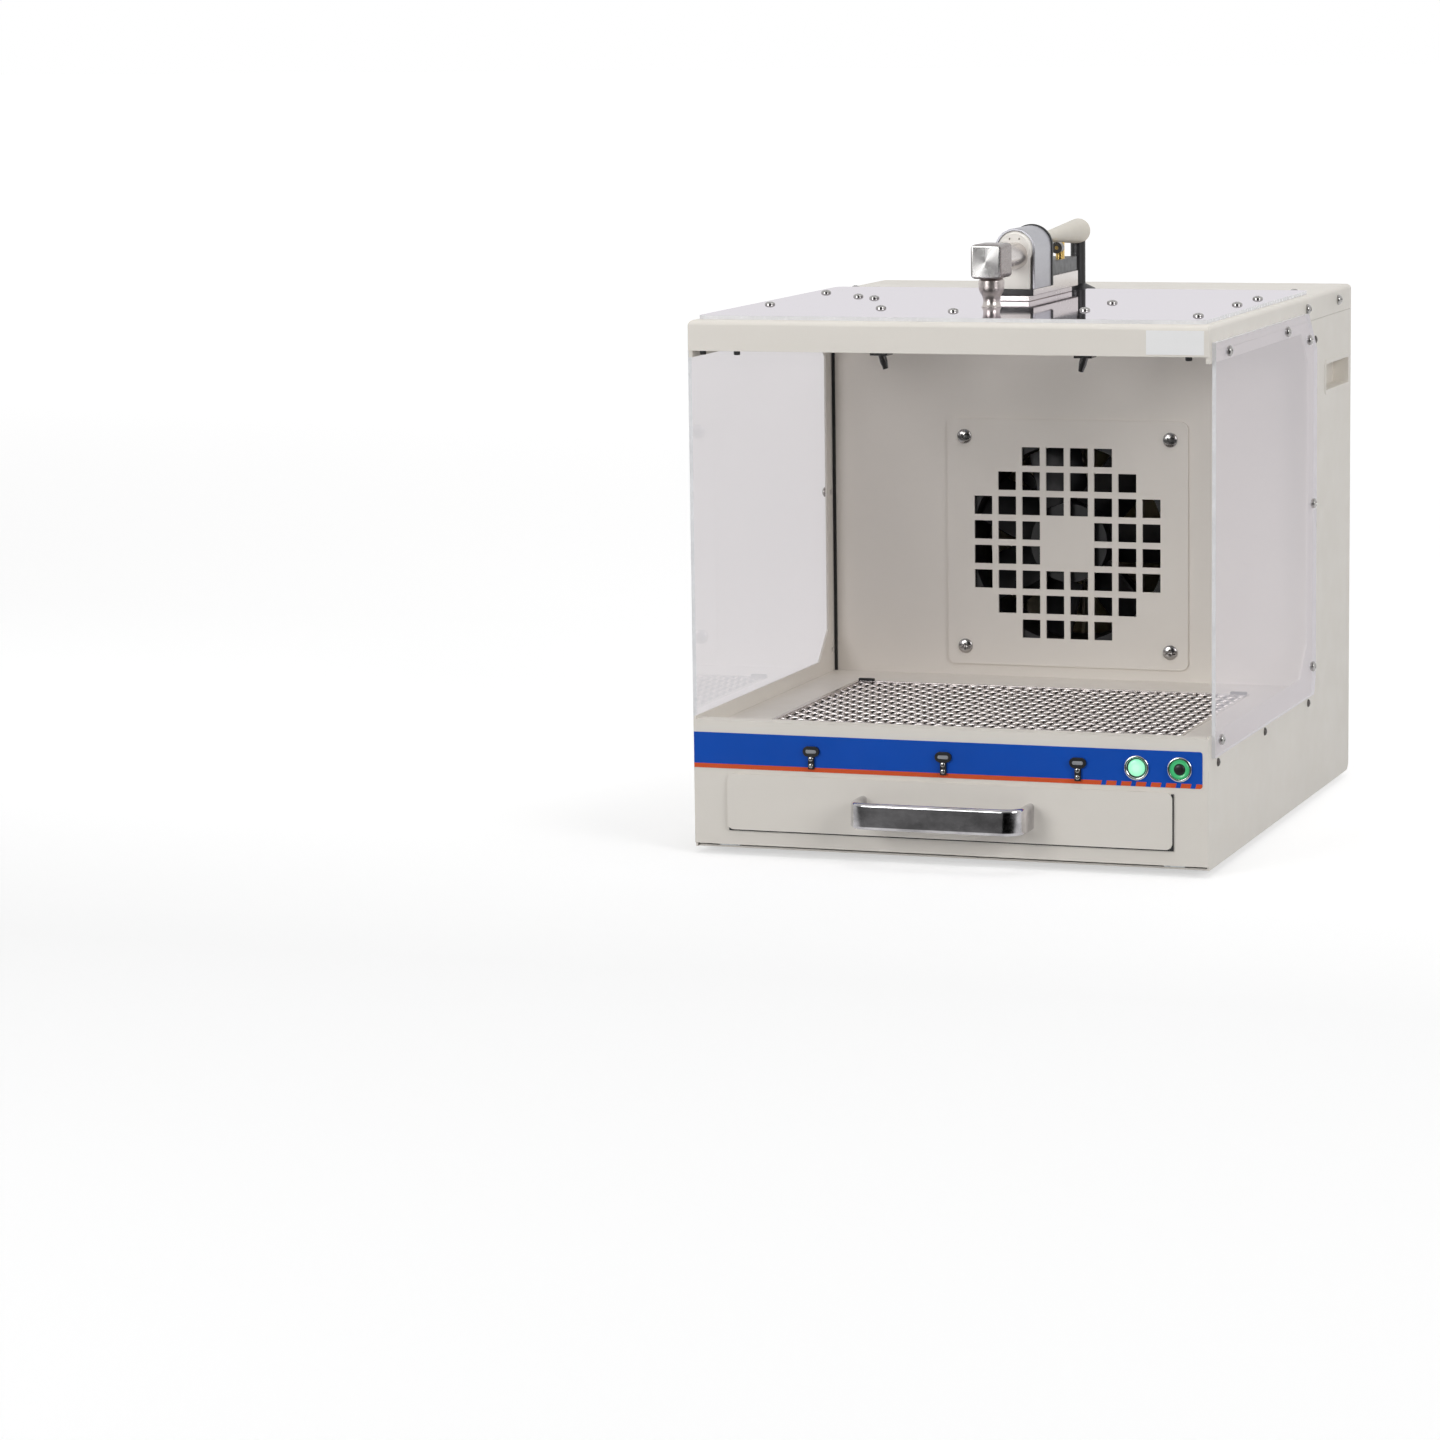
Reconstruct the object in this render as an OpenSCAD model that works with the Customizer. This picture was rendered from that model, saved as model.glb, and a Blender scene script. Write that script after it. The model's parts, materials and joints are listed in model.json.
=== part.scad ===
// Bench-top ionizing dust removal box: a painted sheet-metal cabinet with clear
// side and top windows, an air-knife ion gun on the roof, a suction fan behind a
// square-hole grille, a crimped wire work deck and a dust drawer below it.
// Millimetres, +Z up, the operator's side at -Y. The origin is on the bench, under
// the middle of the whole object.

/* [Housing] */
// Width of the sheet-metal housing
housing_w = 400; // [380:5:440]
// Depth of the housing from front face to rear face
housing_d = 480; // [470:5:520]
// Height of the housing without feet and ion gun
housing_h = 400; // [390:5:440]
// Thickness of the painted sheet metal
sheet_t = 1.5; // [1.2:0.1:2]
// Depth of the machine bay behind the chamber's back wall
rear_bay_d = 142; // [136:1:150]
// Height of the front panel up to the lip in front of the work deck
front_h = 98; // [96:1:104]
// Drop from the front lip to the work deck
deck_drop = 9.5; // [7:0.5:11]
// Depth of the front lip
lip_d = 14; // [10:1:16]
// Height of the beam over the front opening
beam_h = 23; // [21:1:26]
// Height of the lid's side flanges
lid_flange_h = 20; // [18:1:21]
// Height of the lid's rear flange
lid_rear_h = 15; // [12:1:18]
// Rounding of the lid's edges
lid_edge_r = 4; // [3:0.5:5]
// Bend radius of the pan's rear edge
rear_bend_r = 8; // [6:0.5:10]
// Height of the pan's rear upstand
pan_up = 20; // [16:1:26]
// Step of the pan behind the front panel
pan_inset = 4; // [3:0.5:6]
// Gap under the front panel
front_gap = 3; // [2:0.5:4]

/* [Side openings] */
// Height of the side panel below its opening
side_base_h = 100; // [98:1:106]
// Height of the side arm above the opening, up to the roof
side_arm_h = 28; // [27:1:32]
// Depth of the side panel's rear column
column_d = 158; // [154:1:164]
// Chamfer of the opening's rear corners
opening_chamfer = 24; // [18:1:30]
// Width of the tabs that hold the rear panel
rear_tab_w = 14; // [12:1:18]

/* [Windows] */
// Thickness of the clear sheets
window_t = 3; // [2:0.5:4]
// Distance of the side window's front edge from the front face
window_front = 8; // [5:1:14]
// Overlap of the side window behind its opening
window_lap_back = 20; // [18:1:24]
// Overlap of the side window above its opening
window_lap_top = 15; // [13:1:18]
// Overlap of the side window below its opening
window_lap_low = 17; // [15:1:20]
// Chamfer of the side window's upper rear corner
window_chamfer = 30; // [24:1:34]
// Width of the roof window
roof_window_w = 390; // [380:2:392]
// Gap between the front face and the roof window
roof_window_y = 8; // [6:1:12]
// Reach of the roof window behind the chamber's back wall
roof_window_over = 6; // [4:0.5:8]
// Overlap of the roof window on the lid's rim
roof_window_lap = 22; // [18:1:26]
// How far the roof window laps over the lid at each side
roof_side_lap = 39; // [34:1:44]
// Corner radius of the roof window
roof_window_r = 6; // [4:0.5:8]

/* [Work deck] */
// Width of the wire screen's well
mesh_w = 326; // [310:2:336]
// Distance of the wire screen's well from the back wall
mesh_back = 50; // [44:1:60]
// Distance of the well from the front face
mesh_front = 32; // [28:1:36]
// Pitch of the crimped wires
mesh_pitch = 8; // [7:0.5:12]
// Diameter of the crimped wires
wire_d = 2; // [1.6:0.1:2.4]
// Height of the screen's edge bar
mesh_bar_h = 7; // [6:0.5:8]
// Width of the screen's edge bar
mesh_bar_w = 3; // [2.5:0.5:4]
// Width of the ledge that carries the screen
ledge_w = 8; // [6:0.5:10]
// Depth of the deck's side flanges
deck_flange_h = 20; // [16:1:22]

/* [Drawer] */
// Width of the drawer front
drawer_w = 346; // [330:2:352]
// Height of the drawer front
drawer_h = 42.5; // [40:0.5:44]
// Height of the drawer front's lower edge
drawer_z = 15; // [14:0.5:17]
// Thickness of the drawer front
drawer_front_t = 1.6; // [1.2:0.1:2]
// Corner radius of the drawer front
drawer_r = 5; // [3:0.5:7]
// Lap of the drawer front over the edge of its opening
drawer_lap = 2.5; // [1.5:0.5:2.5]
// Gap between drawer front and front panel
drawer_gap = 0.4; // [0.3:0.1:0.8]
// Distance of the dust tray's rear end from the chamber's back wall
tray_back = 50; // [42:1:66]
// Inset of the tray behind each end of the drawer front
tray_inset = 8; // [6:0.5:12]
// Wall of the dust tray
tray_t = 1.2; // [1:0.1:1.5]
// Inset of the tray from the drawer front's lower edge
tray_foot = 3; // [3:0.5:5]
// Inset of the tray from the drawer front's upper edge
tray_head = 4; // [3:0.5:6]
// Width of the runner's ledges
runner_ledge = 12; // [8:1:16]
// Width of the runner's foot
runner_foot = 16; // [12:1:20]
// Reach of the handle in front of the drawer
handle_reach = 34; // [28:1:40]
// Distance between the handle's legs
handle_span = 130; // [110:2:160]
// Height of the handle's flat bar
handle_h = 16; // [12:0.5:18]
// Thickness of the handle's flat bar
handle_t = 6; // [5:0.5:8]
// Outer corner radius of the handle
handle_r = 9; // [9:0.5:12]
// Rise of the handle above the drawer front's middle
handle_rise = 1; // [0:0.5:4]
// Diameter of the handle screws
handle_screw_d = 3; // [2.5:0.5:3.5]

/* [Controls] */
// Lower edge of the control strip
strip_z = 61.3; // [60:0.1:62]
// Height of the control strip
strip_h = 27.2; // [24:0.2:28]
// Inset of the control strip from each side
strip_inset = 2.5; // [1:0.5:5]
// Sideways shift of the control strip and its sensors
strip_x = -2.2; // [-2.4:0.2:0]
// Thickness of the control strip
strip_t = 0.4; // [0.3:0.1:0.6]
// Distance between the hand sensors
sensor_pitch = 103.6; // [90:0.2:110]
// Height of the hand sensors
sensor_z = 77; // [75:0.5:79]
// Width of a sensor's oval head
sensor_w = 12.8; // [11:0.2:15]
// Height of a sensor's oval head
sensor_h = 7.8; // [7:0.2:9]
// Width of a sensor's stem
sensor_stem_w = 4.6; // [4.2:0.2:6]
// Length of a sensor's stem below its head
sensor_stem_h = 10.5; // [9:0.5:12]
// Thickness of a sensor's bezel
sensor_t = 2.2; // [1.8:0.1:3]
// Width of a sensor's lens
lens_w = 8.4; // [7:0.2:10]
// Height of a sensor's lens
lens_h = 2.8; // [2:0.2:3.4]
// Distance of the start button from the right side
start_inset = 54; // [50:1:60]
// Distance of the power button from the right side
power_inset = 21.5; // [18:0.5:24]
// Height of the two buttons
button_z = 75.2; // [73:0.2:77]
// Diameter of the buttons' chrome bezels
bezel_d = 18.6; // [17:0.2:20]
// Thickness of the bezels
bezel_t = 2; // [1.5:0.1:3]
// Diameter of the buttons' threaded barrels
barrel_d = 16; // [15:0.2:16.4]
// Length of the barrels behind the bezel
barrel_l = 24; // [20:1:28]
// Diameter of the start button's cap
start_cap_d = 12.6; // [11:0.2:13]
// Diameter of the power button's plunger
power_cap_d = 8.2; // [7:0.2:9]
// Outer diameter of the power button's lit ring
power_ring_d = 14.4; // [13:0.2:15]
// Travel of the buttons
button_travel = 2.5; // [1.5:0.5:3]
// Width of the bare label on the beam
label_w = 43; // [30:1:50]
// Height of the bare label on the beam
label_h = 17.5; // [12:0.5:18]
// Thickness of the bare label
label_t = 0.3; // [0.2:0.1:0.5]

/* [Suction fan] */
// Height of the fan's axis
fan_z = 198; // [190:1:210]
// Edge of the square grille plate
grille_size = 200; // [196:1:210]
// Thickness of the grille plate
grille_t = 2; // [1.5:0.5:3]
// Corner radius of the grille plate
grille_r = 6; // [4:0.5:8]
// Pitch of the grille's square holes
grille_pitch = 20; // [18:0.5:20]
// Edge of a square hole
grille_hole = 15; // [12:0.5:16]
// Distance between the grille's screws
grille_screw_pitch = 171; // [168:1:174]
// Edge of the fan's square frame
fan_size = 172; // [168:1:180]
// Depth of the fan
fan_depth = 51; // [45:1:54]
// Diameter of the fan's bore
fan_bore = 160; // [154:1:162]
// Running gap at the blade tips
fan_tip_gap = 2; // [1.5:0.5:4]
// Diameter of the fan's hub
fan_hub_d = 64; // [56:1:70]
// Number of fan blades
fan_blades = 7; // [5:1:9]
// Diameter of the fan's shaft
fan_shaft_d = 6; // [5:0.5:8]
// Width and height of the exhaust filter
filter_size = 226; // [210:2:230]
// Depth of the exhaust filter
filter_depth = 46; // [30:1:50]
// Number of pleats in the filter
pleats = 18; // [10:1:24]

/* [Ion gun] */
// Distance of the gun's nozzle from the chamber's back wall
nozzle_back = 213; // [210:1:222]
// Edge of the front block across the gun
block_w = 24; // [20:1:28]
// Length of the front block
block_l = 31; // [26:1:36]
// Height of the front block
block_h = 26; // [22:1:30]
// Height of the nozzle between roof window and front block
nozzle_h = 22; // [20:1:26]
// Largest diameter of the nozzle
nozzle_d = 19.6; // [17:0.2:22]
// Diameter of the nozzle's stem through the roof window
nozzle_stem_d = 11; // [9:0.5:13]
// Length of the nozzle below the roof window
nozzle_drop = 26; // [18:1:27]
// Height of the barrel's axis above the roof window
gun_axis = 40; // [38:0.5:44]
// Diameter of the barrel
gun_d = 28; // [26:0.5:30]
// Length of the barrel
gun_l = 50; // [46:1:56]
// Length of the neck between front block and barrel
neck_l = 47.5; // [40:0.5:52]
// Diameter of the neck
neck_d = 21; // [16:0.5:22]
// Thickness of the saddle strap
strap_t = 1.8; // [1.5:0.1:2.5]
// Length of the saddle strap along the gun
strap_l = 46; // [40:1:50]
// Length of the black edging behind the strap
edging_l = 3; // [2:0.5:4]
// Height of the gun's base plate with its foot
gun_base_h = 9.5; // [8:0.5:11]
// Height of the clamp rail behind the strap
rail_h = 7; // [5:0.5:9]
// Length of the clamp rail
rail_l = 76; // [60:1:78]
// Height of the grey rear block
rear_block_h = 10.5; // [9:0.5:14]
// Diameter of the air pipe behind the barrel
pipe_d = 9; // [8:0.5:11]
// Diameter of the air pipe's elbow
elbow_d = 20; // [17:0.5:21]
// Distance of the pipe's post behind the chamber's back wall
post_back = 34; // [30:1:38]
// Diameter of the post
post_d = 12; // [9:0.5:13]
// Diameter of the post's foot
post_foot_d = 28; // [24:1:32]
// Diameter of the flow knob
knob_d = 9; // [8:0.5:10]
// Length of the flow knob
knob_l = 7; // [5:0.5:9]
// Diameter of the flow valve's spindle
spindle_d = 3; // [2.5:0.5:3.5]

/* [Air supply] */
// Height of the air line below the roof
air_drop = 28; // [26:1:32]
// Distance of the side nozzles from the middle
side_nozzle_x = 80; // [70:1:90]
// Distance of the side nozzles in front of the gun's nozzle
side_nozzle_ahead = 25; // [14:1:30]
// Inward tilt of the side nozzles in degrees
side_nozzle_tilt = 15; // [0:1:25]
// Diameter of the air tubes
tube_d = 6; // [5:0.5:8]
// Width of the air manifold
manifold_w = 190; // [186:2:200]
// Depth of the air manifold
manifold_d = 24; // [20:1:26]
// Height of the air manifold
manifold_h = 20; // [16:1:22]
// Bore of the air inlet, for a tube of 8 mm
inlet_bore_d = 8.1; // [8.02:0.02:8.2]
// Depth of the air inlet's bore
inlet_bore_l = 18; // [14:1:20]
// Reach of the air inlet behind the rear face
inlet_reach = 14; // [10:1:18]

/* [Rear and carrying] */
// Distance of the mains inlet from the middle
mains_x = 140; // [130:1:150]
// Height of the mains inlet
mains_z = 56; // [48:1:66]
// Width of a carrying grip
grip_w = 86; // [80:1:90]
// Height of a carrying grip
grip_h = 24; // [20:1:30]
// Depth of a carrying grip
grip_depth = 14; // [12:1:20]
// Height of the carrying grips' middle
grip_z = 331; // [324:1:340]
// Distance of the grips' middle from the rear face
grip_back = 52; // [50:1:60]
// Height of the rubber feet
foot_h = 5; // [4:0.5:8]
// Diameter of the rubber feet
foot_d = 20; // [16:1:24]
// Distance of the feet from the sides
foot_inset = 45; // [40:1:55]

/* [Fasteners and clearances] */
// Diameter of the window screws
screw_d = 4; // [3:0.5:4.5]
// Head diameter of the window screws
screw_head_d = 8; // [7:0.5:9]
// Head height of the window screws
screw_head_h = 2.4; // [2:0.2:3]
// Diameter of the rivets
rivet_d = 3.2; // [3:0.2:4]
// Radial clearance of a screw in its hole
hole_gap = 0.2; // [0.15:0.05:0.3]
// Gap between sheets that lie side by side
seam = 0.2; // [0.1:0.05:0.3]
// Gap between parts that slide on each other
run_gap = 0.3; // [0.25:0.05:0.5]
// Radial clearance of a shaft in its bearing
bearing_gap = 0.05; // [0.03:0.01:0.08]

/* [Hidden] */
$fn = 48;
hw = housing_w / 2;
inner_x = hw - sheet_t;
// Half width that is free between the side panels' roof tongues
tongue_x = inner_x - sheet_t - seam;
// Where sheets start behind the front panel and end before the rear panel
front_in = sheet_t + seam;
rear_in = housing_d - sheet_t - seam;
wall_y = housing_d - rear_bay_d;
bay_y = wall_y + sheet_t;
column_tab_w = 14;
deck_z = front_h - deck_drop;
lid_under = housing_h - sheet_t;
lid_seam_z = housing_h - lid_flange_h - seam;
// Highest point that clears the lid's rounded inner edge
edge_clear_z = housing_h - lid_edge_r - seam;
cut_top = housing_h - side_arm_h;
cut_back = housing_d - column_d;
roof_z = housing_h + window_t;
roof_window_d = wall_y + roof_window_over - roof_window_y;
roof_screw_inset = 16;
roof_left_screws = [for (part = [0.36, 0.77]) roof_window_y + part * roof_window_d];
roof_right_screws = [for (part = [0.13, 0.49, 0.69]) roof_window_y + part * roof_window_d];
lid_screw_y = bay_y + 12.5;
lid_open_w = roof_window_w - 2 * roof_side_lap;
roof_extra_screws = [for (p = [[-0.89, 0.669], [-0.77, 0.618], [0.51, 0.535], [-0.1, 0.225]])
    [p[0] * lid_open_w / 2, p[1] * wall_y]];
lid_open_y = roof_window_y + roof_window_lap;
lid_open_d = roof_window_d - 2 * roof_window_lap;
// Side window: edges and screws
window_back = cut_back + window_lap_back;
window_top = cut_top + window_lap_top;
window_low = side_base_h - window_lap_low;
screw_edge = 6;
window_screws_yz = [
    [cut_back * 0.155, cut_top + screw_edge],
    [cut_back * 0.745, cut_top + screw_edge],
    [cut_back - opening_chamfer / 2 + screw_edge, cut_top - opening_chamfer / 2 + screw_edge],
    [cut_back + window_lap_back / 2, (cut_top + side_base_h) / 2],
    [cut_back + window_lap_back / 2, side_base_h + screw_edge],
    [cut_back * 0.087, side_base_h - screw_edge]
];
lid_side_screws_y = [wall_y - 20, housing_d - 50];
lid_side_screw_z = housing_h - lid_flange_h / 2;
rivet_z = deck_z - deck_flange_h / 2 - sheet_t;
rivets_y = [28, wall_y / 2 + 9, wall_y - 10];
column_rivet_y = bay_y + column_tab_w / 2 + 1;
column_rivets_yz = [[column_rivet_y, cut_top - 8], [column_rivet_y, side_base_h + 5]];
// Wire screen
mesh_d = wall_y - mesh_front - mesh_back;
ledge_top = deck_z - mesh_bar_h;
mesh_gap = 0.5;
mesh_out_w = mesh_w - 2 * mesh_gap;
mesh_out_d = mesh_d - 2 * mesh_gap;
mesh_cross_z = ledge_top + mesh_bar_h - wire_d - 0.6;
wire_sink = 1;
wires_x = floor((mesh_out_w - 2 * mesh_bar_w) / mesh_pitch);
wires_y = floor((mesh_out_d - 2 * mesh_bar_w) / mesh_pitch);
// Drawer
drawer_mid_z = drawer_z + drawer_h / 2;
handle_z = drawer_mid_z + handle_rise;
tray_y = -drawer_gap;
drawer_y = tray_y - drawer_front_t;
tray_d = wall_y - tray_back - tray_y;
tray_w = drawer_w - 2 * tray_inset;
tray_z = drawer_z + tray_foot;
tray_top = drawer_z + drawer_h - tray_head;
runner_x = tray_w / 2 + run_gap;
runner_front = front_in + 2;
// Controls
start_x = hw - start_inset;
power_x = hw - power_inset;
sensors_x = [for (i = [-1, 0, 1]) i * sensor_pitch + strip_x];
nut_h = 3;
nut_af = 19;
// Fan and exhaust
fan_y = bay_y;
fan_back = fan_y + fan_depth;
fan_duct_y = fan_back;
motor_l = 14;
blade_t = 2;
blade_root = 1;
blade_pitch = 38;
shaft_sink = 10;
filter_wall = 3;
vent_slot_w = 54;
vent_slot_h = 5;
vent_pitch = 12;
grille_rows = [4, 6, 8, 8, 8, 8, 6, 4];
grille_head_d = 12;
// Ion gun, all along x = 0
nozzle_y = wall_y - nozzle_back;
post_y = wall_y + post_back;
gun_z = roof_z + gun_axis;
block_z = roof_z + nozzle_h;
block_y = nozzle_y - block_l / 2;
barrel_y = block_y + block_l + neck_l;
strap_y = barrel_y + gun_l - strap_l - edging_l;
strap_r = gun_d / 2 + 0.2;
base_top = roof_z + gun_base_h;
base_w = 2 * (strap_r + strap_t);
base_foot_h = 4.5;
base_foot_in = 4;
rail_y = strap_y + strap_l + edging_l;
rear_block_z = base_top + rail_h;
rear_block_w = 24;
pipe_y = barrel_y + gun_l;
pipe_z = gun_z + 4.5;
pipe_straight = 42;
valve_x = 8;
valve_y = rail_y + 52;
rear_top = rear_block_z + rear_block_h;
valve_z = rear_top + 9;
valve_cap = 4;
valve_d = 7;
post_foot_h = 4;
// Air line
side_nozzle_y = nozzle_y - side_nozzle_ahead;
air_z = housing_h - air_drop;
manifold_y = post_y - manifold_d / 2;
port_l = 8;
nozzle_seat = 14;
nozzle_under = 4.5;
wall_hole_over = 18;
fan_lap = 6;
valve_body_l = 52;
inlet_stub = 20;
inlet_flange = 4;
supply_y = manifold_y + manifold_d + valve_body_l;
post_low = air_z + manifold_h / 2 - port_l + 1;
// Holes
sensor_plug_d = 6;
screw_hole = screw_d + 2 * hole_gap;
rivet_hole = rivet_d + 2 * hole_gap;
tube_hole = tube_d + 2 * hole_gap;
post_hole = post_d + 2 * hole_gap;
barrel_hole = barrel_d + 2 * hole_gap;
plug_hole = sensor_plug_d + 2 * hole_gap;
handle_hole = handle_screw_d + 2 * hole_gap;
// Small features
beam_return = 12;
vent_rows = 12;
rear_screws_z = [40, 200, 360];
wire_gap = 0.05;
sensor_plug_l = 16;
sensor_screw_d = 1.8;
sensor_screw_steps = [0.25, 0.74];
lens_t = 1;
lens_gap = 0.1;
cup_floor = 2;
cap_l = 6;
cap_stem_l = 14;
cap_proud = 0.8;
ring_t = 1.2;
handle_screw_bite = 10;
fan_corner_r = 8;
fan_front_gap = 3;
strut_t = 6;
strut_w = 8;
blade_chord = 44;
filter_rear_gap = 2;
paper_t = 3;
bay_gap = 16;
psu = [36, 99, 97];
psu_z = 110;
psu_rim = 8;
psu_recess = 14;
ion = [45, 105, 80];
bushing_d = 9;
bushing_l = 22;
collar_d = 16;
collar_l = 6;
board = [90, 80];
board_t = 1.6;
standoff_l = 10;
standoff_d = 6;
terminal_h = 12;
relay_h = 15;
relay_w = 18;
capacitor_d = 12;
capacitor_l = 18;
solder = 0.5;
manifold_spacer_x = 60;
spacer_d = 12;
coil_l = 28;
coil_nut_d = 10;
coil_nut_l = 5;
valve_half = 12;
nozzle_grip = 7;
screw_bite = 9;
inlet_thread_d = 13;
inlet_collar_d = 15;
inlet_hex = 19;
mains_flange_t = 3;
mains_body_w = 27;
mains_body_h = 20;
mains_body_l = 25;
mains_socket_w = 24;
mains_socket_h = 16.5;
mains_socket_l = 16;
mains_pin_l = 10;
grip_r = 2.5;
grip_rim = 2;
grip_rim_t = 0.5;
grip_wall = 1.5;
base_nose = 4;
block_r = 4;
nozzle_tip_r = 3.5;
// Radius and height of the nozzle's profile, as shares of its largest radius and its height
nozzle_waist = [
    [0.79, 0], [0.69, 0.08], [0.64, 0.18], [0.65, 0.28], [0.74, 0.4], [0.93, 0.55], [1, 0.68], [1, 0.91]
];
gun_neck_z = block_z + block_h / 2;
barrel_chamfer = 2;
pedestal_w = 24;
rear_block_over = 10;
// Frame: the front face lies so that the object's box is centred on the origin
front_y = (handle_reach - drawer_y - housing_d - inlet_reach) / 2;

paint = [0.80, 0.79, 0.75];
steel = [0.72, 0.73, 0.74];
black = [0.07, 0.07, 0.08];
clear = [0.85, 0.88, 0.92, 0.35];

// The working frame of all modules: x = 0 in the middle, y = 0 on the front face, z = 0 under the pan
module place() {
    translate([0, front_y, foot_h]) children();
}

// A drawing in the YZ plane, extruded along X around x = 0
module along_x(width) {
    rotate([90, 0, 90]) linear_extrude(width, center = true) children();
}

// A drawing in the YZ plane, extruded along X from x0 on
module slab_x(x0, width) {
    translate([x0 + width / 2, 0, 0]) along_x(width) children();
}

// A drawing in the XZ plane, extruded along Y from y0 on
module slab_y(y0, depth) {
    translate([0, y0 + depth, 0]) rotate([90, 0, 0]) linear_extrude(depth) children();
}

// A round bar along Y from y0 on
module rod_y(x, y0, z, d, length) {
    translate([x, y0, z]) rotate([-90, 0, 0]) cylinder(d = d, h = length);
}

// A round bar along X from x0 on
module rod_x(x0, y, z, d, length) {
    translate([x0, y, z]) rotate([0, 90, 0]) cylinder(d = d, h = length);
}

module box(low, high) {
    translate(low) cube(high - low);
}

module rounded_rect(w, h, r) {
    square([w - 2 * r, h], center = true);
    square([w, h - 2 * r], center = true);
    for (x = [-1, 1], y = [-1, 1]) translate([x * (w / 2 - r), y * (h / 2 - r)]) circle(r);
}

// A rectangle from [x0, y0] to [x1, y1] whose two upper corners are round
module arch_rect(x0, y0, x1, y1, r) {
    translate([x0, y0]) square([x1 - x0, y1 - y0 - r]);
    translate([x0 + r, y0]) square([x1 - x0 - 2 * r, y1 - y0]);
    for (x = [x0 + r, x1 - r]) translate([x, y1 - r]) circle(r);
}

// A pan-head screw with its head's underside at z = 0 and its shank down
module pan_screw(d, head_d, head_h, length) {
    translate([0, 0, -length]) cylinder(d = d, h = length + head_h / 2);
    cylinder(d = head_d, h = head_h * 0.45);
    translate([0, 0, head_h * 0.45]) cylinder(d1 = head_d, d2 = head_d * 0.55, h = head_h * 0.55);
}

// Children at the window screws of the right side, seated on the window's outer face
module at_window_screws() {
    for (p = window_screws_yz) translate([hw + window_t, p[0], p[1]]) rotate([0, 90, 0]) children();
}

module at_grille_screws() {
    h = grille_screw_pitch / 2;
    for (x = [-h, h], z = [-h, h])
        translate([x, wall_y - grille_t, fan_z + z]) rotate([90, 0, 0]) children();
}

module at_roof_screws() {
    h = roof_window_w / 2 - roof_screw_inset;
    for (y = roof_left_screws) translate([-h, y, roof_z]) children();
    for (y = roof_right_screws) translate([h, y, roof_z]) children();
    for (p = roof_extra_screws) translate([p[0], p[1], roof_z]) children();
}

module at_lid_top_screws() {
    h = roof_window_w / 2 - roof_screw_inset + 3;
    for (x = [-h, h]) translate([x, lid_screw_y, housing_h]) children();
}

module at_feet() {
    for (x = [-1, 1], y = [foot_inset, housing_d - foot_inset])
        translate([x * (hw - foot_inset), y, 0]) children();
}

// Housing

module base_pan() {
    color(paint) place() difference() {
        along_x(2 * (inner_x - seam)) {
            translate([pan_inset, 0]) square([housing_d - rear_bend_r - pan_inset, sheet_t]);
            translate([housing_d - rear_bend_r, rear_bend_r]) intersection() {
                difference() {
                    circle(rear_bend_r);
                    circle(rear_bend_r - sheet_t);
                }
                translate([0, -rear_bend_r]) square(rear_bend_r);
            }
            translate([housing_d - sheet_t, rear_bend_r]) square([sheet_t, pan_up - rear_bend_r]);
        }
        at_feet() translate([0, 0, -1]) cylinder(d = screw_hole, h = sheet_t + 2);
    }
}

module front_panel() {
    lip_half = inner_x - seam;
    color(paint) place() {
        difference() {
            slab_y(0, sheet_t) translate([-hw, front_gap]) square([housing_w, front_h - front_gap]);
            slab_y(-1, sheet_t + 2) translate([0, drawer_mid_z])
                rounded_rect(drawer_w - 2 * drawer_lap, drawer_h - 2 * drawer_lap, drawer_r);
            for (x = [start_x, power_x]) rod_y(x, -1, button_z, barrel_hole, sheet_t + 2);
            for (x = sensors_x) rod_y(x, -1, sensor_z, plug_hole, sheet_t + 2);
        }
        box([-lip_half, sheet_t, front_h - sheet_t], [lip_half, lip_d, front_h]);
        box([-lip_half, lip_d - sheet_t, deck_z], [lip_half, lip_d, front_h - sheet_t]);
    }
}

// Outline of a side panel: base, rear column and roof arm around the window opening
module side_outline() {
    polygon([
        [front_in, 0], [housing_d - rear_bend_r, 0], [housing_d, rear_bend_r], [housing_d, lid_seam_z],
        [front_in, lid_seam_z], [front_in, cut_top], [cut_back - opening_chamfer, cut_top],
        [cut_back, cut_top - opening_chamfer], [cut_back, side_base_h + opening_chamfer],
        [cut_back - opening_chamfer, side_base_h], [front_in, side_base_h]
    ]);
    translate([housing_d - rear_bend_r, rear_bend_r]) circle(rear_bend_r);
}

module side_panel() {
    tab_y = rear_in - sheet_t;
    difference() {
        union() {
            slab_x(inner_x, sheet_t) side_outline();
            // Tongue behind the lid's flange, which takes the lid's side screws
            slab_x(inner_x - sheet_t, sheet_t)
                translate([front_in, cut_top]) square([rear_in - front_in, edge_clear_z - cut_top]);
            // Tab behind the rear panel
            box([inner_x - rear_tab_w, tab_y, pan_up], [inner_x, rear_in, edge_clear_z]);
        }
        at_window_screws() translate([0, 0, -3 * sheet_t - window_t])
            cylinder(d = screw_hole, h = 4 * sheet_t + window_t);
        for (y = lid_side_screws_y)
            rod_x(inner_x - 2 * sheet_t, y, lid_side_screw_z, screw_hole, 4 * sheet_t);
        for (y = rivets_y) rod_x(inner_x - 1, y, rivet_z, rivet_hole, sheet_t + 2);
        for (p = column_rivets_yz) rod_x(inner_x - 1, p[0], p[1], rivet_hole, sheet_t + 2);
        slab_x(inner_x - 1, sheet_t + 2) translate([housing_d - grip_back, grip_z])
            rounded_rect(grip_w, grip_h, grip_r);
        at_rear_screws() translate([0, 0, -3 * sheet_t]) cylinder(d = screw_hole, h = 4 * sheet_t);
    }
}

module side_panel_right() {
    color(paint) place() side_panel();
}

module side_panel_left() {
    color(paint) place() mirror([1, 0, 0]) side_panel();
}

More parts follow.
